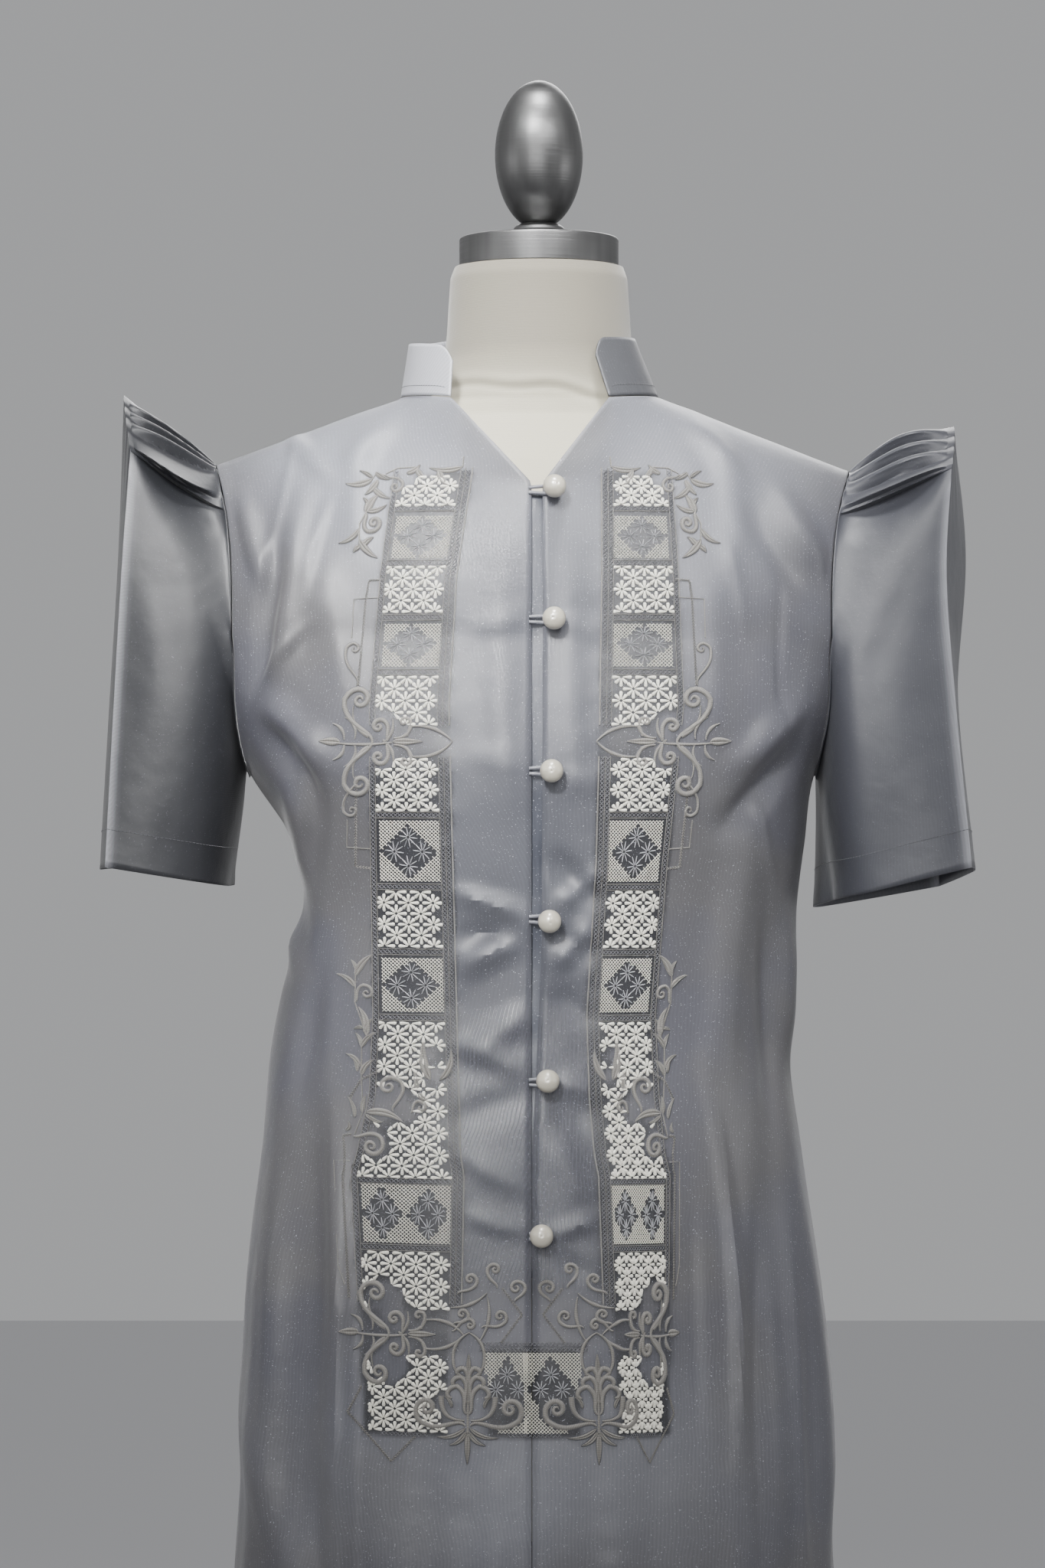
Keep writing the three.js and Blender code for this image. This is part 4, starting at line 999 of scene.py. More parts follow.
class Front:
    """The front's cloth as a map: the depth and lean of the surface at any place seen from the front."""

    step = 1.0
    low_x = -150.0
    high_x = 150.0
    low_z = 560.0
    high_z = 1342.0

    def __init__(self, panels: dict[Side, Array]) -> None:
        """Reads the panels' points off along even rows and columns.

        Args:
            panels: The displaced points of both front panels.
        """
        self.x = np.arange(self.low_x, self.high_x + self.step, self.step)
        self.z = np.arange(self.low_z, self.high_z + self.step, self.step)
        self.depth = np.zeros((len(self.z), len(self.x)))
        for side, points in panels.items():
            mine = self.x < -1.5 if side is Side.RIGHT else self.x >= -1.5
            ordered = points if side is Side.LEFT else points[:, ::-1]
            y, z = (np.stack([np.interp(self.x, row[:, 0], row[:, k]) for row in ordered]) for k in (1, 2))
            columns = [np.interp(self.z, z[:, j], y[:, j]) for j in np.flatnonzero(mine)]
            self.depth[:, mine] = np.stack(columns, axis=1)
        self.lean_z, self.lean_x = np.gradient(self.depth, self.step)

    def read(self, field_map: Array, x: Array, z: Array) -> Array:
        """Reads a map between its grid points, by straight lines both ways.

        Args:
            field_map: One of the front's maps.
            x: Places across.
            z: Heights.

        Returns:
            The map's values.
        """
        u = np.clip((x - self.low_x) / self.step, 0, len(self.x) - 1.001)
        v = np.clip((z - self.low_z) / self.step, 0, len(self.z) - 1.001)
        i, j = v.astype(int), u.astype(int)
        s, t = u - j, v - i
        low = mix(field_map[i, j], field_map[i, j + 1], s)
        return mix(low, mix(field_map[i + 1, j], field_map[i + 1, j + 1], s), t)

    def points(self, plan: Array) -> Array:
        """Points of the cloth under places of the plan."""
        x, z = plan[..., 0], plan[..., 1]
        return join(x, self.read(self.depth, x, z), z)

    def outward(self, plan: Array) -> Array:
        """Unit normals of the cloth at places of the plan: the slopes both ways, and forwards.

        Args:
            plan: Places seen from the front.

        Returns:
            A normal for each place.
        """
        x, z = plan[..., 0], plan[..., 1]
        slope_x, slope_z = self.read(self.lean_x, x, z), self.read(self.lean_z, x, z)
        normal = join(slope_x, -np.ones_like(x), slope_z)
        return normal / np.linalg.norm(normal, axis=-1, keepdims=True)


@dataclass
class Strands:
    """Threads, cords and petals as half-round strips along paths, gathered into one mesh."""

    points: list[Array] = field(default_factory=list)
    faces: list[Array] = field(default_factory=list)
    uv: list[Array] = field(default_factory=list)

    def add(self, centres: Array, up: Array, half: Sizes, height: Sizes, sides: int = 4) -> None:
        """Adds strips of one length: each section is a half ellipse that stands on the cloth.

        Args:
            centres: Strips by steps of points.
            up: The cloth's normal at each of them.
            half: Half the strip's width at each.
            height: How high it stands at each.
            sides: Points of each section.
        """
        strips, steps = centres.shape[:2]
        tangent = np.gradient(centres, axis=1)
        across = np.cross(up, tangent)
        across /= np.maximum(np.linalg.norm(across, axis=-1, keepdims=True), 1e-9)
        turn = np.linspace(math.pi, 0, sides)
        half, height = np.broadcast_to(half, (strips, steps)), np.broadcast_to(height, (strips, steps))
        wide = across[:, :, None] * (half[:, :, None] * np.cos(turn))[..., None]
        tall = up[:, :, None] * (height[:, :, None] * np.sin(turn))[..., None]
        points = centres[:, :, None] + wide + tall
        step, side = np.meshgrid(np.arange(steps - 1), np.arange(sides), indexing="ij")
        after = (side + 1) % sides
        low, high = step * sides, (step + 1) * sides
        quads = join(low + side, high + side, high + after, low + after).reshape(-1, 4)
        last = (steps - 1) * sides
        fan = [[0, k, k + 1, k + 1] for k in range(1, sides - 1)]
        fan += [[last, last + k + 1, last + k, last + k] for k in range(1, sides - 1)]
        block = np.concatenate([quads, np.array(fan)])
        offset = sum(map(len, self.points)) + np.arange(strips)[:, None, None] * steps * sides
        self.faces.append((block[None] + offset).reshape(-1, 4))
        walked = np.linalg.norm(np.diff(centres, axis=1), axis=-1)
        walked = np.concatenate([np.zeros((strips, 1)), np.cumsum(walked, axis=1)], axis=1)
        self.uv.append(join(walked[:, :, None], half[:, :, None] * np.cos(turn)).reshape(-1, 2))
        self.points.append(points.reshape(-1, 3))

    def build(self, name: str, material: Material, slot: str) -> None:
        """Joins all that was gathered into one piece."""
        points, faces, uv = (np.concatenate(parts) for parts in (self.points, self.faces, self.uv))
        make_piece(name, points, faces, material, uv, None, 60.0)


def arc_path(root: Array, end: Array, bow: float, steps: int) -> Array:
    """A path from root to end that bows to its left by a parabola.

    Args:
        root: Where it starts, in the chart.
        end: Where it ends.
        bow: Its height over the chord.
        steps: Points along it.

    Returns:
        The path's points.
    """
    t = np.linspace(0, 1, steps)[:, None]
    chord = end - root
    left = np.array([-chord[1], chord[0]]) / max(float(np.linalg.norm(chord)), 1e-6)
    return root + chord * t + left * (bow * 4 * t * (1 - t))


def scroll_path(root: Array, centre: Array, radius: float, turns: float, hand: int, steps: int) -> Array:
    """A stem that swings from its root into a spiral that shrinks evenly towards its centre.

    Args:
        root: Where the stem starts, in the chart.
        centre: The spiral's middle.
        radius: The spiral's outer radius.
        turns: How often it goes round.
        hand: 1 for a turn to the left, -1 for one to the right.
        steps: Points along the whole.

    Returns:
        The path's points.
    """
    away = root - centre
    bearing = math.atan2(away[1], away[0]) + hand * 1.9
    stem_steps = steps // 3
    t = np.linspace(0, 1, steps - stem_steps)
    turn = bearing + hand * 2 * math.pi * turns * t
    size = radius * (0.16 ** (t**0.85))
    spiral = centre + join(np.cos(turn), np.sin(turn)) * size[:, None]
    start = spiral[0]
    heading = np.array([-math.sin(bearing), math.cos(bearing)]) * hand
    reach = 0.55 * float(np.linalg.norm(start - root))
    leave = root + (start - root) * 0.25 + np.array([away[1], -away[0]]) * (0.22 * hand)
    k = np.linspace(0, 1, stem_steps + 1)[:-1, None]
    arrive = start - heading * reach
    stem = (1 - k) ** 3 * root + 3 * (1 - k) ** 2 * k * leave + 3 * (1 - k) * k**2 * arrive + k**3 * start
    return np.concatenate([stem, spiral])


@dataclass
class Embroidery:
    """The U of drawn-thread work and satin scrolls down both fronts, charted in its own frame.

    The chart's first number runs from the ground's inner edge outwards, the second is the height.
    It sews one side at a time, which is kept in side.
    """

    front: Front
    finishes: Finishes
    side: Side = Side.RIGHT
    width: float = 37.0
    low_width: float = 50.0
    diamond_width: float = 25.0
    lift: float = 0.15
    flower_pitch: float = 14.3
    flower_row: float = 6.5
    cross: float = 2.5
    cross_size: float = 2.2
    white_pitch: float = 2.2
    white_size: float = 2.3
    white: Strands = field(default_factory=Strands)
    silver: Strands = field(default_factory=Strands)
    pale: Strands = field(default_factory=Strands)
    shade: Strands = field(default_factory=Strands)
    grey: Strands = field(default_factory=Strands)

    def plan(self, chart: Array) -> Array:
        """Lays chart places on the plan: stretched to the ground's width, plain beyond its edges.

        Args:
            chart: Places in the chart.

        Returns:
            Places seen from the front.
        """
        a, z = chart[..., 0], chart[..., 1]
        inner = BAND.straight(f"{self.side.word}_inner", z)
        outer = BAND.straight(f"{self.side.word}_outer", z)
        stretch = np.abs(outer - inner) / self.ground(z)
        return join(inner + self.side.value * np.where(a > 0, a * stretch, a), z)

    def ground(self, z: Array | float) -> Array:
        """The white ground's width in the chart: wider below the waist."""
        return GROUND.straight("width", z)

    def stitch(
        self, strands: Strands, paths: Array, half: Sizes, height: Sizes, sides: int = 4
    ) -> None:
        """Lays charted paths on the cloth as strips, satin ones over a dark strip of painted shadow.

        Args:
            strands: The thread they are sewn with.
            paths: Paths by steps of chart places.
            half: Half widths.
            height: Heights over the cloth.
            sides: Points of each section.
        """
        plan = self.plan(paths)
        up = self.front.outward(plan)
        places = self.front.points(plan)
        strands.add(places + up * self.lift, up, half, height, sides)
        # Painted shadow: a wider dark flat strip under each satin line.
        if strands is self.grey and sides > 4:
            self.shade.add(places + up * 0.1, up, half + 0.42, 0.2, 3)

    def inside(self, places: Array, z0: float, z1: float) -> Array:
        """Which chart places lie on the ground between two heights."""
        a, z = places[..., 0], places[..., 1]
        return (a > -0.6) & (a < self.ground(z) + 0.6) & (z > z0) & (z < z1)

    def flowers(self, z0: float, z1: float) -> None:
        """Drawn-thread ground: rows of eight-petalled stars, every other row set over by half a pitch.

        Args:
            z0: Its lower edge.
            z1: Its upper edge.
        """
        rows = max(2, round((z1 - z0) / self.flower_row))
        pitch_z = (z1 - z0) / rows
        row, k = np.meshgrid(np.arange(rows + 1), np.arange(-1, 5), indexing="ij")
        centres = join((k + 0.5 * (row % 2)) * self.flower_pitch + 4.9, z0 + row * pitch_z).reshape(-1, 2)
        turn = np.arange(8) * (math.pi / 4)
        reach = np.tile([6.1, 4.75, 5.3, 4.75], 2)
        petals = join(np.cos(turn) * reach, np.sin(turn) * reach * pitch_z / self.flower_row)
        t = np.array([0.16, 0.42, 0.84, 1.0])
        tips = centres[:, None] + petals[None]
        right = self.ground(tips[..., 1]) + 0.4
        met = join(np.clip(tips[..., 0], -0.4, right), np.clip(tips[..., 1], z0 - 0.4, z1 + 0.4))
        level = np.abs(petals) < 0.1
        room = np.where(level, 1.0, (met - centres[:, None]) / np.where(level, 1.0, petals)).min(axis=-1)
        paths = centres[:, None, None] + (petals * room[..., None])[:, :, None] * t[:, None]
        paths = paths.reshape(-1, 4, 2)
        tips = paths[:, -1]
        keep = self.inside(paths[:, 0], z0 - 1, z1 + 1) & self.inside(tips, z0 - 1, z1 + 1)
        keep &= room.ravel() > 0.3
        for gap_a, gap_z, radius in COVERED:
            keep &= np.hypot(tips[:, 0] - gap_a, tips[:, 1] - gap_z) > radius
        self.stitch(self.white, paths[keep], (0.34, 0.72, 1.12, 0.7), (0.5, 1.1, 1.0, 0.4))

    def crosses(self, strands: Strands, centres: Array) -> None:
        """Cross stitches: two short bars over each other at every place.

        Args:
            strands: The thread.
            centres: Chart places of their middles.
        """
        size = self.white_size if strands is self.white else self.cross_size
        for slope in (1, -1):
            ends = np.array([[-1, -slope], [1, slope]]) * (size / 2)
            self.stitch(strands, centres[:, None] + ends[None], size * 0.1, 0.5 + 0.12 * slope, 3)

    def rule(self, path: Array, half: float = 0.42) -> None:
        """One plain corded line along a path."""
        self.stitch(self.grey, np.array(path, float)[None], half, 0.6)

    def border(self, z0: float, z1: float) -> None:
        """The columns of cross stitch beside the ground: two and a cord inside, one outside.

        Args:
            z0: Its lower edge.
            z1: Its upper edge.
        """
        z = np.arange(z0, z1, self.cross)
        steps = np.linspace(z0, z1, round((z1 - z0) / 4))
        for a in (-1.9, -5.2, self.ground(z) + 2.2):
            self.crosses(self.silver, join(a, z))
        for a, half in ((-3.5, 0.22), (-7.6, 0.45), (-0.4, 0.2)):
            self.rule(join(a, steps), half)
        for a, half in ((0.5, 0.2), (3.9, 0.25)):
            self.rule(join(self.ground(steps) + a, steps), half)

    def divider(self, z: float) -> None:
        """A row of cross stitch between two blocks, with a fine cord under and over it.

        Args:
            z: Its height.
        """
        width = float(self.ground(z))
        self.crosses(self.silver, join(np.arange(0.8, width, self.cross), z))
        for offset in (-1.8, 1.8):
            self.rule(join(np.linspace(-0.5, width + 0.5, 14), z + offset), 0.22)

    def diamond(self, z0: float, z1: float) -> None:
        """A block of white cross stitch round grey diamonds, each with four starbursts.

        Args:
            z0: Its lower edge.
            z1: Its upper edge.
        """
        middle, tall = (z0 + z1) / 2, z1 - z0
        width = float(self.ground(middle))
        count = int(width // self.diamond_width)
        cell = width / count
        a = np.arange(1.3, width - 0.6, self.white_pitch)
        a, z = np.meshgrid(a, np.arange(z0 + 1.2, z1 - 0.6, self.white_pitch))
        centre = (np.floor(a / cell) + 0.5) * cell
        apart = np.abs(a - centre) / (cell * 0.46) + np.abs(z - middle) / (tall * 0.47)
        self.crosses(self.white, join(a, z)[apart > 1.0])
        stars = [
            ((k + 0.5) * cell + out * cell * 0.22, middle + rise * tall * 0.24)
            for k in range(count)
            for out, rise in ((1, 0), (-1, 0), (0, 1), (0, -1))
        ]
        self.starbursts(stars, (min(cell * 0.15, 5.4), tall * 0.175))

    def starbursts(self, centres: Sequence[Numbers], size: Numbers) -> None:
        """Stars of ten fine rays, each a straight stitch that is thickest half way out.

        Args:
            centres: Chart places of their middles.
            size: How far the rays reach, across and up.
        """
        turn = np.arange(10) * (math.pi / 5) + 0.13
        spokes = join(np.cos(turn), np.sin(turn))[:, None] * np.array(size)
        paths = np.array(centres)[:, None, None] + (spokes * np.array([0.14, 0.6, 1.0])[:, None])[None]
        self.stitch(self.pale, paths.reshape(-1, 3, 2), (0.16, 0.34, 0.2), (0.6, 0.8, 0.3), 3)

    def scroll(
        self,
        root: Numbers,
        centre: Numbers,
        radius: float,
        turns: float,
        hand: int,
        half: float = 0.75,
    ) -> None:
        """A satin scroll that swells along its stem and thins into its curl.

        Args:
            root: Where it starts, in the chart.
            centre: The spiral's middle.
            radius: The spiral's outer radius.
            turns: How often it goes round.
            hand: 1 for a turn to the left, -1 for one to the right.
            half: Its half width, before it swells.
        """
        steps = 34
        path = scroll_path(np.array(root, float), np.array(centre, float), radius, turns, hand, steps)
        t = np.linspace(0, 1, steps)
        width = 1.3 * half * (0.45 + 0.75 * np.sin(math.pi * t**0.8) ** 0.9)
        self.stitch(self.grey, path[None], width, 0.5 + 0.6 * width, 5)

    def leaf(self, root: Numbers, tip: Numbers, width: float = 2.4, bow: float = 0.0) -> None:
        """A satin leaf in two halves with a vein between them, pointed at its tip.

        Args:
            root: Where it starts, in the chart.
            tip: Where it ends.
            width: Its full width.
            bow: How far it bows to its left.
        """
        steps = 11
        path = arc_path(np.array(root, float), np.array(tip, float), bow, steps)
        t = np.linspace(0, 1, steps)
        shape = np.sin(math.pi * t**0.75) ** 0.8 * (1 - 0.25 * t) + 0.06
        run = np.gradient(path, axis=0)
        left = join(-run[:, 1], run[:, 0]) / np.linalg.norm(run, axis=-1, keepdims=True)
        for sign in (1, -1):
            middle = path + left * (sign * width * 0.25 * shape)[:, None]
            self.stitch(self.grey, middle[None], width * 0.29 * shape, 0.4 + 0.8 * shape, 5)

    def chain(self, corners: Sequence[Numbers]) -> None:
        """A line of chain stitch through some corners, each stitch a short slanting bar.

        Args:
            corners: Chart places that it goes through.
        """
        line = np.array(corners, float)
        lengths = np.linalg.norm(np.diff(line, axis=0), axis=-1)
        for start, end, length in zip(line[:-1], line[1:], lengths):
            count = max(2, round(length / 1.7))
            t = (np.arange(count) + 0.5)[:, None] / count
            run = (end - start) / length
            left = np.array([-run[1], run[0]])
            middle = start + (end - start) * t
            for sign in (1, -1):
                lean = (run * 0.9 + left * 0.55 * sign) / 1.06
                ends = middle[:, None] + lean * np.array([-0.85, 0.85])[:, None] + left * 0.3 * sign
                self.stitch(self.grey, ends, 0.32, 0.55, 3)

    def charted(self, x: float, z: float) -> tuple[float, float]:
        """The chart place of a place on the wearer's right front; the left front mirrors it.

        Args:
            x: A place across the wearer's right front.
            z: Its height.

        Returns:
            Its place in the chart.
        """
        inner, outer = (float(BAND.straight(f"right_{edge}", z)) for edge in ("inner", "outer"))
        beyond = inner - x
        return (beyond * float(self.ground(z)) / (inner - outer) if beyond > 0 else beyond), z

    def path_through(self, places: Sequence[Numbers]) -> Array:
        """A path in the chart through places of the wearer's right front."""
        return np.array([self.charted(*place) for place in places])

    def foliage(self, leaves: Sequence[Numbers], curls: Sequence[Numbers]) -> None:
        """Leaves and curls at places of the wearer's right front, mirrored onto the left one.

        Args:
            leaves: Rows of root, tip, width and bow.
            curls: Rows of root, centre, radius, turns, hand and half width.
        """
        for x0, z0, x1, z1, width, bow in leaves:
            self.leaf(self.charted(x0, z0), self.charted(x1, z1), width, bow)
        for x0, z0, x1, z1, radius, turns, hand, half in curls:
            self.scroll(self.charted(x0, z0), self.charted(x1, z1), radius, turns, hand, half)

    def vine(self) -> None:
        """The wandering vine outside the band at the waist, which turns in over the ground below."""
        leaves = (
            (-114, 988, -103, 1001.5, 4.4, -1.6), (-113, 991, -117, 998, 2.4, 0.8),
            (-114, 981, -126, 989, 3.0, 1.6), (-107, 951, -112, 969, 4.2, 1.8),
            (-108, 953, -103, 962, 3.2, -1.2), (-109, 956, -115, 955, 2.2, 0.8),
            (-110, 944, -100.5, 953.5, 3.0, -1.6), (-110, 944, -114, 953, 2.6, 1.0),
            (-111, 932, -120, 940, 2.8, 1.6), (-110, 927, -101.5, 937, 3.4, -1.8),
            (-112.5, 929, -115, 936, 2.2, 0.8), (-114, 901, -118.5, 914, 2.6, 1.2),
            (-109, 904, -107, 915, 2.8, -0.8), (-107, 904.5, -84, 899.5, 4.6, -2.6),
            (-107, 903.5, -96, 899, 2.4, 1.4), (-67, 925, -71, 949, 5.4, -2.2),
            (-61.5, 925, -54.5, 944, 4.0, 2.6), (-76, 918, -77.5, 930, 3.2, 1.0),
            (-74, 917, -68, 913, 3.4, 1.0), (-120, 893, -118, 899, 2.2, 1.6),
        )
        curls = (
            (-114, 972, -107, 977.5, 5.4, 1.3, 1, 0.65), (-90, 905.5, -93, 920.5, 7.4, 1.4, -1, 0.85),
            (-114.5, 890, -103.5, 884, 7.8, 1.45, 1, 0.9), (-79, 905, -73, 908, 4.2, 1.0, 1, 0.7),
        )
        self.foliage(leaves, curls)
        stem = ((-114, 988), (-114.5, 972), (-110, 960), (-107, 951), (-110, 944), (-110, 927))
        self.rule(self.path_through(stem), 0.5)
        self.rule(self.path_through(((-110, 927), (-109, 905), (-111, 899), (-114, 891))), 0.45)
        self.chain(self.path_through(((-100, 929.5), (-110, 924.5), (-117, 912.5))))

    def petal_cord(self, root: Numbers, tip: Numbers, bow: float, widths: Numbers) -> None:
        """A satin cord along one bow whose half width goes through three sizes.

        Args:
            root: Where it starts, in the chart.
            tip: Where it ends.
            bow: How far it bows to its left.
            widths: Half widths at its start, middle and end.
        """
        path = arc_path(np.array(root, float), np.array(tip, float), bow, 14)
        half = np.interp(np.arange(14), [0, 7, 13], widths)
        self.stitch(self.grey, path[None], half, 0.5 + 0.5 * half, 5)

    def cross_scroll(self, z: float, size: float) -> None:
        """The large ornament that lies across the band: paired C scrolls round a level axis.

        Args:
            z: The axis's height.
            size: Its scale; at 1 it is 75 mm long and its inner point lies 9 mm inside the ground.
        """
        start = -8.9

        def at(a: float, rise: float) -> tuple[float, float]:
            """A place of the ornament in the chart."""
            return start + (a - start) * size, z + rise * size

        self.leaf(at(54.5, 0), at(66.5, 0.4), 4.6 * size)
        self.leaf(at(24.5, 0), at(7.5, 0), 3.8 * size)
        self.petal_cord(at(56, -0.8), at(25, -0.6), 1.0, (0.5, 0.9, 0.5))
        curls = (
            (36, -1, 43.2, 24, 8.9, 1.5, 1, 1.05), (27, 0.5, 32.5, 8.6, 4.7, 1.3, -1, 0.9),
            (16, 3, 18, 11, 3.4, 1, -1, 0.75),
        )
        cords = (
            (46.5, 21, 38, 3.2, 4.2, (0.3, 0.8, 1.5)), (30, -1, 24.5, 13.5, 2.6, (0.5, 1, 0.35)),
            (52, 1, 58.5, 10.5, 2.4, (0.4, 1.2, 0.3)), (46, 1.5, 51.5, 14, 3, (0.4, 1.1, 0.3)),
            (14, 8.6, -9.2, 0, -3.4, (0.5, 1.2, 0.35)), (24, 2, 13.5, 8.8, 2.4, (0.5, 1.1, 0.5)),
        )
        for way in (1, -1):
            for a0, z0, a1, z1, radius, turns, hand, half in curls:
                root, centre = at(a0, way * z0), at(a1, way * z1)
                self.scroll(root, centre, radius * size, turns, way * hand, half)
            for a0, z0, a1, z1, bow, widths in cords:
                self.petal_cord(at(a0, way * z0), at(a1, way * z1), way * bow, widths)

    def fleur(self, z: float) -> None:
        """The upright spray at the foot of each band: curls in pairs down a stem, and a fan of leaves.

        Args:
            z: The height of its side spirals.
        """
        a = -12.5
        for way in (1, -1):
            waist, foot = (a + way * 9.5, z + 30), (a + way * 1.5, z - 9.5)
            self.petal_cord((a, z + 46.5), waist, way * 3.2, (0.4, 1.1, 0.9))
            self.petal_cord(waist, (a + way * 1.2, z + 19), way * 2.4, (0.9, 0.8, 0.5))
            self.scroll(foot, (a + way * 25.5, z + 0.5), 8.8, 1.5, way, 1.05)
            low, high = (a + way * 2.0, z - 6.5), (a + way * 16.5, z + 8.0)
            self.petal_cord(low, high, -way * 5.5, (0.5, 1.2, 1.7))
            for rise, reach, radius in ((24.0, 5.6, 4.2), (17.5, 7.6, 5.4), (10.5, 10.2, 6.6)):
                root, centre = (a + way * 0.7, z + rise - 13), (a + way * reach, z + rise - 2)
                self.scroll(root, centre, radius, 0.62, -way, 0.95)
            for a0, z0, a1, z1, width, bow in (
                (1.2, -11, 19, -16.5, 2.6, -2.4), (0.9, -13, 11, -21.5, 2.8, -1.8),
                (10, 1, 14.5, 8, 2.2, 1.4),
            ):
                self.leaf((a + way * a0, z + z0), (a + way * a1, z + z1), width, way * bow)
        self.rule(join(a, z + np.array([-14.0, 0, 14, 26])), 0.75)
        self.leaf((a, z - 14), (a, z - 33), 3.4)
        self.leaf((a, z + 22), (a, z + 34), 2.8)

    def foot_scrolls(self) -> None:
        """Small curls between the fleur and the last button, with a chain-stitched diamond."""
        curls = (
            (-29, 800, -27.5, 811, 4.6, 1), (-5, 796, -12.5, 805, 4.6, -1), (-40, 792, -40.5, 800, 5.6, -1),
            (-20, 776, -31.0, 783, 4.8, -1), (-3, 778, -8.0, 784, 4.2, -1), (-2, 774, -13.0, 777.5, 3.6, 1),
        )
        for root_a, root_z, a, z, radius, hand in curls:
            self.scroll((root_a, root_z), (a, z), radius, 1.35, hand, 0.7)
        self.petal_cord((-1, 788), (-23, 797), 2.6, (0.4, 1.2, 0.3))
        self.petal_cord((-19, 768), (-23, 795), 3.2, (0.4, 1.2, 0.3))
        self.chain(((-32, 800), (-44.5, 784), (-32, 767)))

    def foot_band(self) -> None:
        """The level band of white ground that joins both sides at the bottom, with its diamonds."""
        reach = -abs(float(BAND.straight(f"{self.side.word}_inner", 740.0)) + 8.5)
        middle, half = (-41.0, 15.5) if self.side is Side.LEFT else (-36.0, 12.0)
        a = np.arange(reach, -6.0, self.white_pitch)
        a, z = np.meshgrid(a, np.arange(713.8, 761.0, self.white_pitch))
        apart = np.abs(a - middle) / half + np.abs(z - 739) / 20.0
        curl = np.hypot(a + 37.5, z - 727) > 11.5
        clear = (np.abs(a + 12.5) > 10.5 + np.clip((748 - z) * 0.35, 0, 9)) & curl
        self.crosses(self.white, join(a, z)[(apart > 1.0) & clear])
        for level, spray_width in ((763.0, 6.0), (766.4, 6.0), (711.5, 24.0)):
            steps = np.arange(reach, -4.0, self.cross)
            self.crosses(self.silver, join(steps[np.abs(steps + 12.5) > spray_width], level))
        stars = ((middle, 748.0), (middle, 730.0), (middle + 6.6, 739.0), (middle - 6.6, 739.0))
        self.starbursts([star for star in stars if star[0] > reach + 3], (5.0, 5.4))

    def frames(self) -> None:
        """The thin stepped frames outside the bands, in cord and in chain stitch."""
        w = self.width
        self.chain(((w + 1, 1233), (w + 10.6, 1232.5), (w + 11.8, 1221), (w + 11.7, 1167.5)))
        self.rule(((w + 3.8, 1233), (w + 3.4, 1222), (w + 19.3, 1221), (w + 18.5, 1197)))
        self.scroll((w + 12.5, 1167.5), (w + 16, 1190), 5.2, 1.2, 1, 0.6)
        self.chain(((w + 12, 1112), (w + 13, 1056), (w + 4, 1055)))
        self.scroll((w + 11, 1112), (w + 14.5, 1091), 5.2, 1.2, -1, 0.6)
        self.rule(((w + 17.5, 1085.0), (w + 18, 1068), (w + 4, 1067)))
        w = self.low_width
        self.chain(((w + 3, 891), (w + 8, 890), (w + 9, 792)))
        self.rule(((w + 5, 875.0), (w + 14, 875), (w + 14, 812), (w + 11, 800)), 0.35)
        self.chain(((w + 4.5, 739), (w + 14, 723), (w - 14, 694), (w - 29.5, 709.6)))
        self.crosses(self.silver, join(np.arange(w - 36, w - 8, self.cross), 710.8))

    def spray(self) -> None:
        """The leafy top corner: long leaves over the ground and a spray that hangs outside it."""
        leaves = (
            (-47.5, 1303.5, -68.5, 1303.5, 3.6, -2.0), (-62.5, 1302, -56, 1292, 4.0, 1.6),
            (-76, 1303, -70.5, 1297, 3.4, 1.2), (-82.5, 1300, -74, 1305.5, 3.4, 1.0),
            (-102, 1301, -93, 1296, 2.8, 0.8), (-104, 1296.5, -120.5, 1294, 4.2, -2.0),
            (-104, 1297.5, -112, 1302, 2.4, 0.6), (-100.5, 1296, -108.5, 1286.5, 3.8, -1.0),
            (-103, 1291.5, -92.5, 1284, 3.4, 1.4), (-107.5, 1275, -100, 1286.5, 4.8, -1.2),
            (-107, 1276, -94.5, 1280, 3.2, 1.4), (-106, 1280, -109.5, 1284.5, 2.6, 0.6),
            (-111.5, 1265, -124.5, 1256, 3.4, -2.2), (-111.5, 1258, -100, 1246.5, 4.0, 1.4),
            (-111, 1254, -115, 1250, 3.2, 0.6), (-109, 1254, -102.5, 1259.5, 3.4, -0.8),
        )
        curls = (
            (-94.5, 1298.5, -89.5, 1291.5, 4.9, 1.3, 1, 0.65),
            (-107.5, 1275, -102.5, 1268.5, 6.2, 1.5, -1, 0.85),
        )
        self.foliage(leaves, curls)
        for path in (
            ((-95.5, 1300), (-88, 1303.5), (-77, 1304), (-71, 1297)),
            ((-107.5, 1275), (-111.5, 1268), (-111.5, 1258)),
            ((-104, 1296.5), (-101.5, 1300.5), (-94.5, 1298.5)),
            ((-47, 1310), (-47.5, 1303.5)),
        ):
            self.rule(self.path_through(path), 0.55)

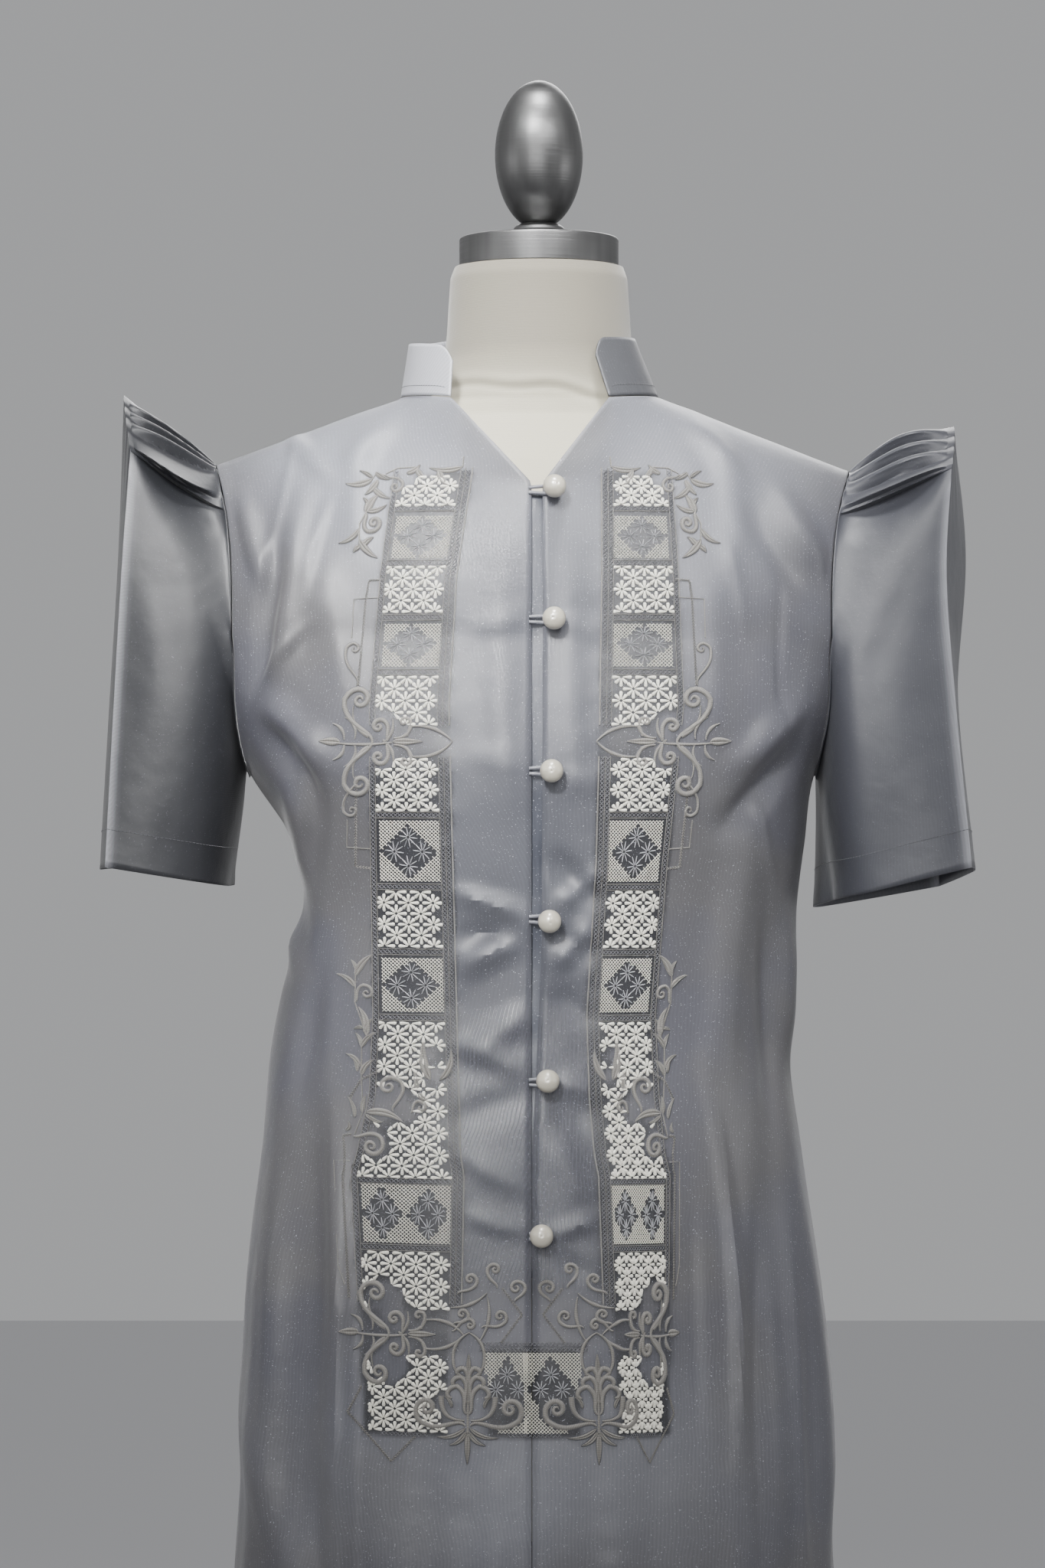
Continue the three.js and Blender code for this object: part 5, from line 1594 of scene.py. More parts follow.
    def build(self) -> None:
        """Sews both sides and makes the pieces, one for each thread and one for the painted shadow under the
        satin.
        """
        blocks = (
            (self.flowers, 1279.5, 1297.5), (self.diamond, 1246.0, 1273.5), (self.flowers, 1213.0, 1240.5),
            (self.diamond, 1179.0, 1206.5), (self.flowers, 1143.5, 1172.5), (self.flowers, 1091.0, 1122.0),
            (self.diamond, 1047.0, 1084.0), (self.flowers, 1007.0, 1040.5), (self.diamond, 966.5, 999.5),
            (self.flowers, 866.0, 959.5), (self.diamond, 826.0, 861.0), (self.flowers, 787.0, 820.0),
            (self.flowers, 713.0, 758.0),
        )
        dividers = (1277.5, 1243.0, 1209.5, 1175.5, 1088.0, 1043.7, 1003.5, 963.0, 863.5, 823.2)
        for side in Side:
            self.side = side
            for sew, z0, z1 in blocks:
                sew(z0, z1)
            for z in dividers:
                self.divider(z)
            self.border(1143.0, 1303.0)
            self.border(790.0, 1124.0)
            self.cross_scroll(1133.0, 1.07)
            self.cross_scroll(771.5, 1.0)
            self.fleur(726.5)
            for sew in (self.foot_scrolls, self.foot_band, self.frames, self.spray, self.vine):
                sew()
        for strands, name, material in (
            (self.white, "embroidery_white", self.finishes.white),
            (self.silver, "embroidery_silver", self.finishes.silver),
            (self.pale, "embroidery_pale", self.finishes.pale),
            (self.shade, "embroidery_painted_shadow", self.finishes.slate),
            (self.grey, "embroidery_grey", self.finishes.grey),
        ):
            strands.build(name, material, "organza")


@dataclass
class Bodice:
    """The two front panels, the back and the strip behind the opening."""

    finishes: Finishes
    worn: WornForm = field(default_factory=WornForm)
    wall: float = 0.5
    columns: int = 78
    back_columns: int = 62
    spacing: float = 4.2
    fade: float = 10.0
    panels: dict[Side, Array] = field(default_factory=dict)

    def displaced(self, points: Array, relief: Relief, edge_fade: Array) -> Array:
        """Moves a panel's points out by its relief, along their own normals, less near its seams.

        Args:
            points: Rows by columns of points.
            relief: The panel's relief.
            edge_fade: The share of the relief at each point.

        Returns:
            The moved points.
        """
        normal = grid_normals(points)
        if float((normal[..., 1] * relief.face.value).mean()) < 0:
            normal = -normal
        height = relief.height(points[..., 0], points[..., 2]) * edge_fade
        return points + normal * height[..., None]

    def seam_fade(self, points: Array) -> Array:
        """1 over most of a half panel, falling to 0 at its outer seam and its shoulder.

        Args:
            points: Rows by columns of points.

        Returns:
            A share for each point.
        """
        uv = grid_uv(points)
        from_side = uv[:, -1:, 0] - uv[..., 0]
        from_top = uv[-1:, :, 1] - uv[..., 1]
        return smoothstep(from_side, 0, self.fade) * smoothstep(from_top, 0, self.fade)

    def facing_and_painted_shade(self, points: Array) -> Array:
        """How much of a second layer lies behind, between the bands and above the lowest button.

        Args:
            points: Rows by columns of points.

        Returns:
            A share for each point.
        """
        x, z = points[..., 0], points[..., 2]
        left, right = BAND.straight("right_inner", z), BAND.straight("left_inner", z)
        placket = smoothstep(x, left - 2, left + 5) * (1 - smoothstep(x, right - 5, right + 2))
        return placket * smoothstep(z, 770, 812) * (1 - smoothstep(z, 1296, 1318) * 0.6)

    def form_through_and_painted_light(self, points: Array) -> Array:
        """How far the pale form shows through, over the shoulders and chest where it is near, plus painted
        light that is weaker on the wearer's left.

        Args:
            points: Rows by columns of points.

        Returns:
            A share for each point.
        """
        x, z = points[..., 0], points[..., 2]
        rumple = 0.18 * np.sin(x / 23 + 1.3 * np.sin(z / 41)) * np.sin(z / 37 + x / 61)
        high = smoothstep(z + 0.15 * np.abs(x), 1060, 1350) * (1 - 0.3 * smoothstep(x, 30, 120))
        away = 1 - smoothstep(np.abs(x) - 0.9 * (z - 1200), 50, 140)
        belly = 0.7 * smoothstep(z, 600, 660) * (1 - smoothstep(z, 690, 790)) * bell(x, 150)
        placket = self.facing_and_painted_shade(points)
        bust = 0.32 * bell(z - 1060, 70) * placket
        return np.clip((high * away * (1 - 0.5 * placket) + bust + belly) * (0.85 + rumple), 0, 1)

    def openwork_painted_shade(self, points: Array) -> Array:
        """Painted shade under the embroidery, where the cloth is drawn thin: a darker colour for the shade
        between the stitches.

        Args:
            points: Rows by columns of points.

        Returns:
            A share for each point.
        """
        x, z = points[..., 0], points[..., 2]
        ground = np.zeros(x.shape)
        for side in Side:
            edge = np.abs(BAND.straight(f"{side.word}_inner", z))
            rim = np.abs(BAND.straight(f"{side.word}_outer", z))
            start, end = edge - np.where(z > 789, 7.5, 0.5), rim + 4.0
            far = side.value * x
            drawn = smoothstep(far, start - 1.5, start + 0.5) * (1 - smoothstep(far, end - 0.5, end + 1.5))
            across = (far - edge) * GROUND.straight("width", z) / (rim - edge)
            for gap_a, gap_z, radius in COVERED:
                away = np.hypot(across - gap_a, z - gap_z)
                drawn *= 0.2 + 0.8 * smoothstep(away, radius - 2.5, radius + 1)
            ground += drawn
        gaps = 1 - 0.4 * (bell(z - 1133, 8.0) + bell(z - 772, 13.0))
        ground *= smoothstep(z, 709, 712) * (1 - smoothstep(z, 1299, 1302)) * gaps
        foot = smoothstep(z, 709, 712) * (1 - smoothstep(z, 763, 766))
        return np.maximum(ground, (1 - smoothstep(np.abs(x + 4), 27, 31)) * foot)

    def front(self, side: Side) -> None:
        """Makes one front panel with its creases.

        Args:
            side: Wearer's side.
        """
        points = self.worn.half_panel(side, Face.FRONT, self.columns, self.spacing)
        points = self.displaced(points, Relief(FRONT_CREASES, Face.FRONT), self.seam_fade(points))
        self.panels[side] = points
        grid = points if side is Side.LEFT else points[:, ::-1]
        paint = {"facing_and_painted_shade": self.facing_and_painted_shade(grid), "openwork_painted_shade": self.openwork_painted_shade(grid), "form_through_and_painted_light": self.form_through_and_painted_light(grid)}
        self.panel(f"front_{side.word}", grid, self.finishes.organza, paint)

    def back(self) -> None:
        """Makes the back panel in one piece with its creases."""
        relief = Relief(BACK_CREASES, Face.BACK)
        halves = []
        for side in Side:
            points = self.worn.half_panel(side, Face.BACK, self.back_columns, self.spacing)
            halves.append(self.displaced(points, relief, self.seam_fade(points)))
        right, left = halves
        grid = np.concatenate([left[:, ::-1], right[:, 1:]], axis=1)
        grid[:, left.shape[1] - 1] = (left[:, 0] + right[:, 0]) / 2
        self.panel("back", grid, self.finishes.organza, {"facing_and_painted_shade": np.zeros(grid.shape[:2])})

    def strip(self, front: Front) -> None:
        """Makes the dark strip behind the opening, which follows the panels a little further in.

        Args:
            front: The front's map.
        """
        plan = join(*np.meshgrid(np.linspace(-16.5, 16.5, 9), np.linspace(806, self.worn.v_point - 6, 90)))
        ripple = 0.5 * np.sin(plan[..., 1] / 14) * np.sin(plan[..., 0] / 9 + plan[..., 1] / 47)
        points = front.points(plan) - front.outward(plan) * (2.6 + ripple)[..., None]
        self.panel("opening_strip", points, self.finishes.strip, {"facing_and_painted_shade": np.ones(points.shape[:2])})

    def panel(self, node: str, grid: Array, material: Material, paint: dict[str, Array]) -> None:
        """Makes a panel as a sheet of cloth in place of its solid.

        Args:
            node: The solid that it stands for.
            grid: Rows by columns of points.
            material: Its material.
            paint: Named shares at each point, for the material.
        """
        piece = make_cloth(node, grid, material, self.wall, paint)

    def build(self) -> Front:
        """Makes all the panels and returns the front's map."""
        for side in Side:
            self.front(side)
        self.back()
        front = Front(self.panels)
        self.strip(front)
        return front


@dataclass
class Collar:
    """The split stand collar, with the seam that joins it and a line of stitching."""

    finishes: Finishes
    worn: WornForm = field(default_factory=WornForm)
    height_right: float = 32.0
    height: float = 37.0
    seam_length: float = 420.0
    seam: float = 0.4
    top_shift: float = -11.0
    top_half_width: float = 72.4
    top_front_depth: float = 71.0
    top_back_depth: float = 64.0
    lift: float = 0.8
    wall: float = 1.1

    def build(self) -> None:
        """Makes the band: it leans in as it rises, and its front corners are rounded off."""
        end = self.worn.collar_end
        k = np.linspace(0, 1, 181)[None, :]
        share = np.linspace(0, 1, 17)[:, None]
        turn = mix(end, 2 * math.pi - end, k)
        base = self.worn.neckline(turn)
        s, c = np.sin(turn), np.cos(turn)
        ends = np.where(k < 0.5, self.height, self.height_right)
        height = mix(self.height, ends, np.abs(k - 0.5) * 2)
        walked = np.minimum(k, 1 - k) * self.seam_length
        corner = 1 - 0.3 * np.clip(1 - walked / 14.0, 0, 1) ** 2.2
        up = share * corner
        sag = 0.7 * np.sin(turn * 5 + 1.2) * share
        depth = np.where(c > 0, self.worn.neck_front_depth, self.worn.neck_back_depth) - self.seam
        top_depth = np.where(c > 0, self.top_front_depth, self.top_back_depth)
        low_x = self.worn.neck_shift + (self.worn.neck_half_width - self.seam) * s
        x = mix(low_x, self.top_shift + self.top_half_width * s, up)
        y = -mix(depth, top_depth, up) * c
        z = base[..., 2] + self.lift + up * height
        points = join(x + sag * s, y - sag * c, z)
        # Painted light: the collar is painted paler towards the wearer's right, where the light falls.
        paint = {"facing_and_painted_shade": np.ones(x.shape), "form_through_and_painted_light": 0.12 + 0.88 * smoothstep(-x, -30, 40)}
        piece = make_cloth("collar", points, self.finishes.stiff, self.wall, paint)
        line = points[3, 2:-2], grid_normals(points)[3, 2:-2]
        stitch_line("collar_stitching", line, self.finishes.slate)


def stitch_line(name: str, line: tuple[Array, Array], material: Material, pitch: float = 2.6) -> None:
    """A row of machine stitches along a line of a surface, each stitch a short low bar.

    Args:
        name: The piece's name.
        line: Points of the line and the surface's normals there.
        material: The thread.
        pitch: From one stitch to the next.
    """
    strands = Strands()
    walked = np.concatenate([[0], np.cumsum(np.linalg.norm(np.diff(line[0], axis=0), axis=-1))])
    count = max(2, int(walked[-1] / pitch))
    at = (np.arange(count)[:, None] + np.array([0.12, 0.5, 0.88])) * walked[-1] / count
    centres, up = (join(*(np.interp(at, walked, axis) for axis in part.T)) for part in line)
    strands.add(centres + up * 0.12, up, (0.16, 0.24, 0.16), (0.1, 0.3, 0.1), 3)
    strands.build(name, material, "sleeve_organza")


SLEEVE_SIDES = ("crown", "front_crease", "front_inner", "under", "back_inner", "back_crease")
# Rings from the armhole over the crest to the cuff; each row has a place for every line above.
LEFT_SLEEVE = np.array([
    [(198, 0, 1307), (193, -34, 1277), (183, -62, 1200), (176, 0, 1112), (183, 64, 1200), (193, 36, 1277)],
    [(227, 1, 1327), (225, -45, 1291), (185, -67, 1186), (177.5, 0, 1105), (185, 68, 1186), (226, 46, 1290)],
    [(265, 3, 1336), (258, -53, 1305), (187, -70, 1168), (179, 0, 1097), (185, 71, 1168), (259, 54, 1301)],
    [(273, 5, 1255), (254, -60, 1240), (190, -70, 1138), (181, 0, 1082), (184, 71, 1136), (257, 62, 1240)],
    [(268, 7, 1155), (259, -66, 1160), (195, -67, 1092), (184, 0, 1062), (182, 68, 1086), (259, 67, 1152)],
    [(279, 9, 1051), (269, -70, 1055), (202, -60, 1038), (189, 0, 1033), (180, 58, 1026), (262, 64, 1040)],
], float)
RIGHT_SLEEVE = np.array([
    [(206, 0, 1311), (203, -34, 1280), (192, -62, 1200), (184, 0, 1112), (192, 64, 1200), (203, 36, 1280)],
    [(235, 2, 1332), (230, -46, 1298), (194, -67, 1187), (185.5, 0, 1105), (194, 68, 1187), (233, 44, 1300)],
    [(265, 2, 1356), (256, -50, 1316), (196, -70, 1170), (187, 0, 1098), (195, 71, 1170), (261, 42, 1325)],
    [(269, 5, 1255), (260, -60, 1250), (199, -70, 1140), (189, 0, 1085), (197, 71, 1140), (262, 60, 1250)],
    [(275, 7, 1155), (265, -66, 1155), (204, -67, 1095), (193, 0, 1066), (200, 68, 1094), (266, 66, 1155)],
    [(281, 9, 1052), (270, -70, 1055), (209, -60, 1045), (199, 0, 1042), (203, 58, 1044), (270, 64, 1052)],
], float)


def curve_through(places: Array, share: Array) -> Array:
    """A centripetal Catmull-Rom curve through some places, read at shares of its knots.

    Args:
        places: The knots, in order.
        share: From 0 at the first knot to 1 at the last.

    Returns:
        A point for each share.
    """
    knots = np.concatenate([2 * places[:1] - places[1:2], places, 2 * places[-1:] - places[-2:-1]])
    at = np.clip(share, 0, 1) * (len(places) - 1)
    i = np.minimum(at.astype(int), len(places) - 2)
    t = (at - i)[:, None]
    p0, p1, p2, p3 = knots[i], knots[i + 1], knots[i + 2], knots[i + 3]
    gap = [np.sqrt(np.linalg.norm(b - a, axis=-1, keepdims=True)) for a, b in ((p0, p1), (p1, p2), (p2, p3))]
    leave = ((p1 - p0) / gap[0] - (p2 - p0) / (gap[0] + gap[1]) + (p2 - p1) / gap[1]) * gap[1]
    arrive = ((p2 - p1) / gap[1] - (p3 - p1) / (gap[1] + gap[2]) + (p3 - p2) / gap[2]) * gap[1]
    start = p1 * (2 * t**3 - 3 * t**2 + 1) + leave * (t**3 - 2 * t**2 + t)
    return start + p2 * (3 * t**2 - 2 * t**3) + arrive * (t**3 - t**2)


@dataclass
class Sleeve:
    """A butterfly sleeve of two stiff layers: pleats over its roof, pressed creases, an open cuff."""

    finishes: Finishes
    side: Side
    worn: WornForm = field(default_factory=WornForm)
    roof_rings: int = 34
    drop_rings: int = 66
    spans: tuple[int, ...] = (64, 24, 12, 12, 24, 64)
    bulge: tuple[float, ...] = (1.5, 5.0, 8.0, 8.0, 5.0, 1.5)
    seam: float = 0.8
    crest: int = 2
    crease_turn: float = 0.8
    wall: float = 0.7
    hem: float = 24.0

    def edges(self, share: Array) -> Array:
        """Where the pleats' folded edges lie between the crown and the crease, ring by ring.

        Args:
            share: Each ring's place between the armhole and the crest.

        Returns:
            Rings by edges, the crown's 0 first.
        """
        if self.side is Side.RIGHT:
            seam, crest = np.array([0.0, 0.1, 0.2, 0.32, 1.0]), np.array([0.0, 0.22, 0.43, 0.68, 1.0])
        else:
            seam, crest = np.array([0.0, 0.2, 0.46, 0.72, 1.0]), np.array([0.0, 0.27, 0.52, 0.76, 1.0])
        return mix(seam[None], crest[None], share[:, None])

    def pleat(self, t: Array, share: Array, fade: Array) -> tuple[Array, Array]:
        """Soft pleats with deep troughs; the lowest one's folded edge hangs over and tucks back under.

        Args:
            t: Places from the crown to the crease.
            share: Each ring's place between the armhole and the crest.
            fade: How far each ring is pleated.

        Returns:
            The places that the cloth moves to, and its height in shares of the fold.
        """
        moved, height = np.zeros((len(share), len(t))), np.zeros((len(share), len(t)))
        for ring, row in enumerate(self.edges(share)):
            count = len(row) - 1
            level = np.interp(t, row, np.arange(count + 1))
            whole = np.minimum(np.floor(level), count - 1)
            phase = level - whole
            last = whole == count - 1
            over = np.interp(phase, [0.0, 0.62, 0.7, 0.82, 1.0], [0.0, 1.08, 1.13, 0.88, 1.0])
            reach = np.append(row, 2 * row[-1] - row[-2])
            over = mix(phase, over, fade[ring] * np.where(last, 1.0, 0.25))
            moved[ring] = np.interp(whole + over, np.arange(count + 2), reach)
            stops = [0.0, 0.25, 0.6, 0.68, 0.74, 0.84, 1.0]
            knife = np.interp(phase, stops, [0.0, 0.5, 0.9, 1.0, 0.8, 0.1, 0.0])
            height[ring] = np.where(last, knife, np.sin(math.pi * phase**1.3).clip(0) ** 0.7)
        return moved, height

    def rings(self, table: Array, share: Array, on_roof: bool) -> Array:
        """Rings of the sleeve: straight sides between six lines, bulged, pleated and sewn to the armhole.

        Args:
            table: The lines' knots, rings by lines.
            share: Each ring's place along this stretch.
            on_roof: Whether this is the roof, from the armhole to the crest.

        Returns:
            Rings by places round them of points, on the wearer's left.
        """
        knots = table[: self.crest + 1] if on_roof else table[self.crest :]
        lines = [curve_through(knots[:, line], share) for line in range(len(SLEEVE_SIDES))]
        corners = np.stack(lines, axis=1)
        middle = corners.mean(axis=1)
        stops = (QUARTER, self.crease_turn, 0.0, -QUARTER, 0.0, self.crease_turn, QUARTER)
        pull = np.clip(1 - share * 2, 0, None) ** 2 if on_roof else np.zeros_like(share)
        deep = np.sin(math.pi * np.clip(share / 0.94, 0, 1)) ** 0.8
        left_over = np.clip(1 - share * 3.2, 0, None) ** 1.5
        fade = 0.15 + 0.85 * deep if on_roof else 0.15 * left_over
        swell = 1.3 + 8.8 * deep if on_roof else 1.3 * left_over
        sides = []
        for s, spans in enumerate(self.spans):
            start, end = corners[:, s], corners[:, (s + 1) % len(self.spans)]
            chord = end - start
            outward = (start + end) / 2 - middle
            outward -= chord * ((outward * chord).sum(-1) / (chord**2).sum(-1))[:, None]
            outward /= np.linalg.norm(outward, axis=-1, keepdims=True)
            t = np.arange(spans) / spans
            place = np.broadcast_to(t, (len(share), spans))
            if s in (0, len(self.spans) - 1):
                along_roof = share if on_roof else np.ones_like(share)
                place, height = self.pleat(t if s == 0 else 1 - t, along_roof, fade)
                place = place if s == 0 else 1 - place
                fold = swell[:, None] * height
            else:
                fold = self.slack(share, t, s, on_roof)
                if s in (1, len(self.spans) - 2):
                    tuck = bell(t if s == 1 else 1 - t, 0.2)
                    fold = fold - (0.8 * swell)[:, None] * tuck[None]
            push = self.bulge[s] * np.sin(math.pi * t)[None] + fold
            points = start[:, None] + chord[:, None] * place[..., None] + outward[:, None] * push[..., None]
            face = Face.FRONT if s < 3 else Face.BACK
            seam = self.worn.armhole(self.side, face, mix(stops[s], stops[s + 1], t))
            seam = seam * [self.side.value, 1, 1]
            seam = seam[None] + outward[:, None] * (fold * 0.4)[..., None]
            sides.append(mix(points, seam, pull[:, None, None]))
        return np.concatenate(sides, axis=1)

    def flattened(self, grid: Array, passes: int = 60) -> Array:
        """Eases the panels below the creases lengthways, so that only the roof breaks at the crest.

        Args:
            grid: Rings by places of points.
            passes: How often neighbouring rings are averaged.

        Returns:
            The eased points; the creases, the armhole and the cuff stay.
        """
        first, last = self.spans[0], sum(self.spans) - self.spans[-1]
        places = np.arange(first + 1, last)
        near = smoothstep(np.minimum(places - first, last - places), 0, 8)
        rows = np.arange(1, len(grid) - 1)
        reach = smoothstep(rows, 0, 12) * (1 - smoothstep(rows, self.roof_rings + 8, self.roof_rings + 26))
        share = 0.5 * (reach[:, None] * near[None])[..., None]
        for _ in range(passes):
            middle = (grid[:-2, places] + grid[2:, places]) / 2
            grid[1:-1, places] = mix(grid[1:-1, places], middle, share)
        inner = bell(np.arange(grid.shape[1]) - first - self.spans[1], 9.0)
        inner += bell(np.arange(grid.shape[1]) - last + self.spans[-2], 9.0)
        share = 0.5 * inner[None, :, None] * smoothstep(np.arange(len(grid)), 4, 24)[:, None, None]
        for _ in range(40 if self.side is Side.RIGHT else 10):
            middle = (np.roll(grid, 1, axis=1) + np.roll(grid, -1, axis=1)) / 2
            grid = mix(grid, middle, share)
        return grid

    def slack(self, share: Array, t: Array, s: int, on_roof: bool) -> Array:
        """Soft diagonal waves of the stiff cloth between the roof and the cuff.

        Args:
            share: Each ring's place along this stretch.
            t: Places along the side.
            s: The side's number.
            on_roof: Whether this is the roof.

        Returns:
            A height for each ring and place.
        """
        along = share[:, None] * 0.3 if on_roof else 0.3 + share[:, None] * 0.7
        wave = np.sin(7.5 * along + 3.1 * t[None] + s) * np.sin(math.pi * t[None])
        drag = np.sin(13.0 * along - 5.0 * t[None] + 2 * s) * np.sin(math.pi * t[None]) * (1 - along)
        return (1.3 * wave + 0.8 * drag) * smoothstep(along, 0.05, 0.3) * (1 - smoothstep(along, 0.92, 1.0))

    def build(self) -> None:
        """Makes the sleeve, its armhole seam and the stitching of its hem."""
        table = RIGHT_SLEEVE if self.side is Side.RIGHT else LEFT_SLEEVE
        roof = self.rings(table, np.linspace(0, 1, self.roof_rings, endpoint=False), True)
        drop = self.rings(table, np.linspace(0, 1, self.drop_rings + 1), False)
        grid = self.flattened(np.concatenate([roof, drop]))
        grid[..., 0] = self.side.value * (grid[..., 0] + self.seam)
        if self.side is Side.RIGHT:
            grid = grid[:, ::-1]
        rows, columns = grid.shape[:2]
        node = f"sleeve_{self.side.word}"
        paint = self.paint(rows, columns)
        piece = make_cloth(node, grid, self.finishes.stiff, self.wall, paint, True, 30.0)
        around = np.arange(-1, columns)
        level = rows - 1 - self.hem * 7 / np.linalg.norm(grid[-1] - grid[-8], axis=-1)[around]
        low = level.astype(int)
        ring = mix(grid[low, around], grid[low + 1, around], (level - low)[:, None])
        line = ring, grid_normals(grid, True)[low, around]
        stitch_line(f"{node}_stitching", line, self.finishes.slate)

    def paint(self, rows: int, columns: int) -> dict[str, Array]:
        """Painted shade, full on the right sleeve and slight on the left, and painted highlights along the
        pressed creases.

        Args:
            rows: Rows of points.
            columns: Columns of points.

        Returns:
            Named shares for the material.
        """
        place = np.arange(columns)[None, :]
        front, back = self.spans[0], sum(self.spans) - self.spans[-1]
        if self.side is Side.RIGHT:
            front, back = columns - 1 - front, columns - 1 - back
        # Painted highlights along the pressed creases, below the roof.
        edge = bell(place - front, 1.3) + bell(place - back, 1.3)
        below = smoothstep(np.arange(rows)[:, None], self.roof_rings - 2, self.roof_rings + 4)
        # Painted shade: the right sleeve takes the darker double colour in full, the left one slightly.
        painted_shade = np.full((rows, columns), 1.0 if self.side is Side.RIGHT else 0.15)
        return {"facing_and_painted_shade": painted_shade, "form_through_and_painted_light": 0.7 * edge * below}


@dataclass
class Buttons:
    """Six pearls on shanks, each held by a round cloth loop from the right front's edge."""

    finishes: Finishes
    front: Front
    spots: tuple[tuple[float, float], ...] = (
        (7, 1288), (10, 1208), (7.5, 1115), (5.6, 1024), (5.2, 924), (1.2, 831),
    )
    radius: float = 7.2
    cord: float = 1.15
    half_gap: float = 2.5
    lift: float = 1.0

    def pearl(self, number: int, centre: Array, out: Array) -> None:
        """A bead turned about its own axis: a ball with a small hole in front and a shank behind.

        Args:
            number: Which button.
            centre: The bead's middle.
            out: The way that it faces.
        """
        turn = np.linspace(-QUARTER, QUARTER, 25)[2:-2]
        shank, front = -self.radius - 1.6, self.radius * 0.985
        behind = [(shank, 0.02), (shank, 1.3), (-front, 1.3)]
        hole = [(front, 0.55), (self.radius * 0.93, 0.02)]
        ball = join(self.radius * np.sin(turn), self.radius * np.cos(turn))
        along, size = np.concatenate([behind, ball, hole]).T
        round_it = np.linspace(0, 2 * math.pi, 32, endpoint=False)
        side = np.cross(out, [0, 0, 1.0])
        side /= np.linalg.norm(side)
        up = np.cross(side, out)
        ring = np.cos(round_it)[:, None] * side + np.sin(round_it)[:, None] * up
        points = centre + along[:, None, None] * out + size[:, None, None] * ring[None]
        faces = grid_faces(len(along), len(round_it), True)[:, ::-1]
        piece = make_piece(
            f"pearl_bead_{number}", points, faces, self.finishes.pearl, None, None, 50.0
        )
        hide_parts(f"pearl_{number}")

    def loop(self, number: int, x: float, z: float) -> None:
        """A corded loop: out of the edge, round the shank and back, as a tube along a U.

        Args:
            number: Which button.
            x: The pearl's place across.
            z: Its height.
        """
        edge = float(OPENING.straight("right", z)) - 1.5
        bend = np.linspace(-QUARTER, QUARTER, 13)
        reach = np.linspace(edge, x - 0.5, 7)
        gap = mix(self.half_gap - 0.9, self.half_gap, smoothstep(reach, edge, x - 0.5))
        nose = join(x + self.half_gap * np.cos(bend), z + self.half_gap * np.sin(bend))
        plan = np.concatenate([join(reach, z - gap), nose, join(reach, z + gap)[::-1]])
        up = self.front.outward(plan)
        rise = np.where(plan[:, 0] < edge + 2, 0.3, self.lift)
        centres = self.front.points(plan) + up * rise[:, None]
        tangent = np.gradient(centres, axis=0)
        tangent /= np.linalg.norm(tangent, axis=-1, keepdims=True)
        across = np.cross(up, tangent)
        turn = np.linspace(0, 2 * math.pi, 10, endpoint=False)
        ring = np.cos(turn)[None, :, None] * across[:, None] + np.sin(turn)[None, :, None] * up[:, None]
        points = centres[:, None] + ring * self.cord
        tips = centres[:, None] + ring * 0.02
        points = np.concatenate([tips[:1], points, tips[-1:]])
        faces = grid_faces(len(points), len(turn), True)[:, ::-1]
        piece = make_piece(
            f"loop_cord_{number}", points, faces, self.finishes.cord,
            grid_uv(points), {"facing_and_painted_shade": np.ones(points.shape[:2])}, 60.0,
        )
        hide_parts(f"loop_{number}")

    def build(self) -> None:
        """Makes every button with its loop."""
        for number, (x, z) in enumerate(self.spots, 1):
            plan = np.array([x, z], float)
            out = self.front.outward(plan)
            self.pearl(number, self.front.points(plan) + out * (self.radius + 2.2), out)
            self.loop(number, x, z)


FORM = Table(
    "z half front back power",
    (640, 152, 100, 104, 2.3), (660, 160, 104, 110, 2.3), (710, 167, 107, 113, 2.3),
    (770, 167, 107, 112, 2.3), (840, 154, 100, 100, 2.3), (905, 136, 92, 84, 2.3),
    (960, 126, 86, 76, 2.3), (1010, 129, 91, 76, 2.3), (1060, 141, 102, 82, 2.3),
    (1110, 150, 109, 88, 2.3), (1155, 160, 105, 92, 2.3), (1200, 171, 98, 93, 2.2),
    (1250, 181, 90, 88, 2.1), (1285, 187, 82, 78, 1.9), (1300, 187, 77, 70, 1.8),
    (1310, 183, 73, 64, 1.7), (1323, 148, 66, 56, 1.65), (1340, 101, 58, 53, 1.7),
    (1350, 74, 56.5, 53, 1.95), (1361, 66, 57, 54, 2), (1378, 60.5, 56, 54, 2),
    (1395, 58.8, 55.5, 54, 2), (1430, 56.6, 54, 53, 2), (1437, 54, 51.5, 50.5, 2),
)


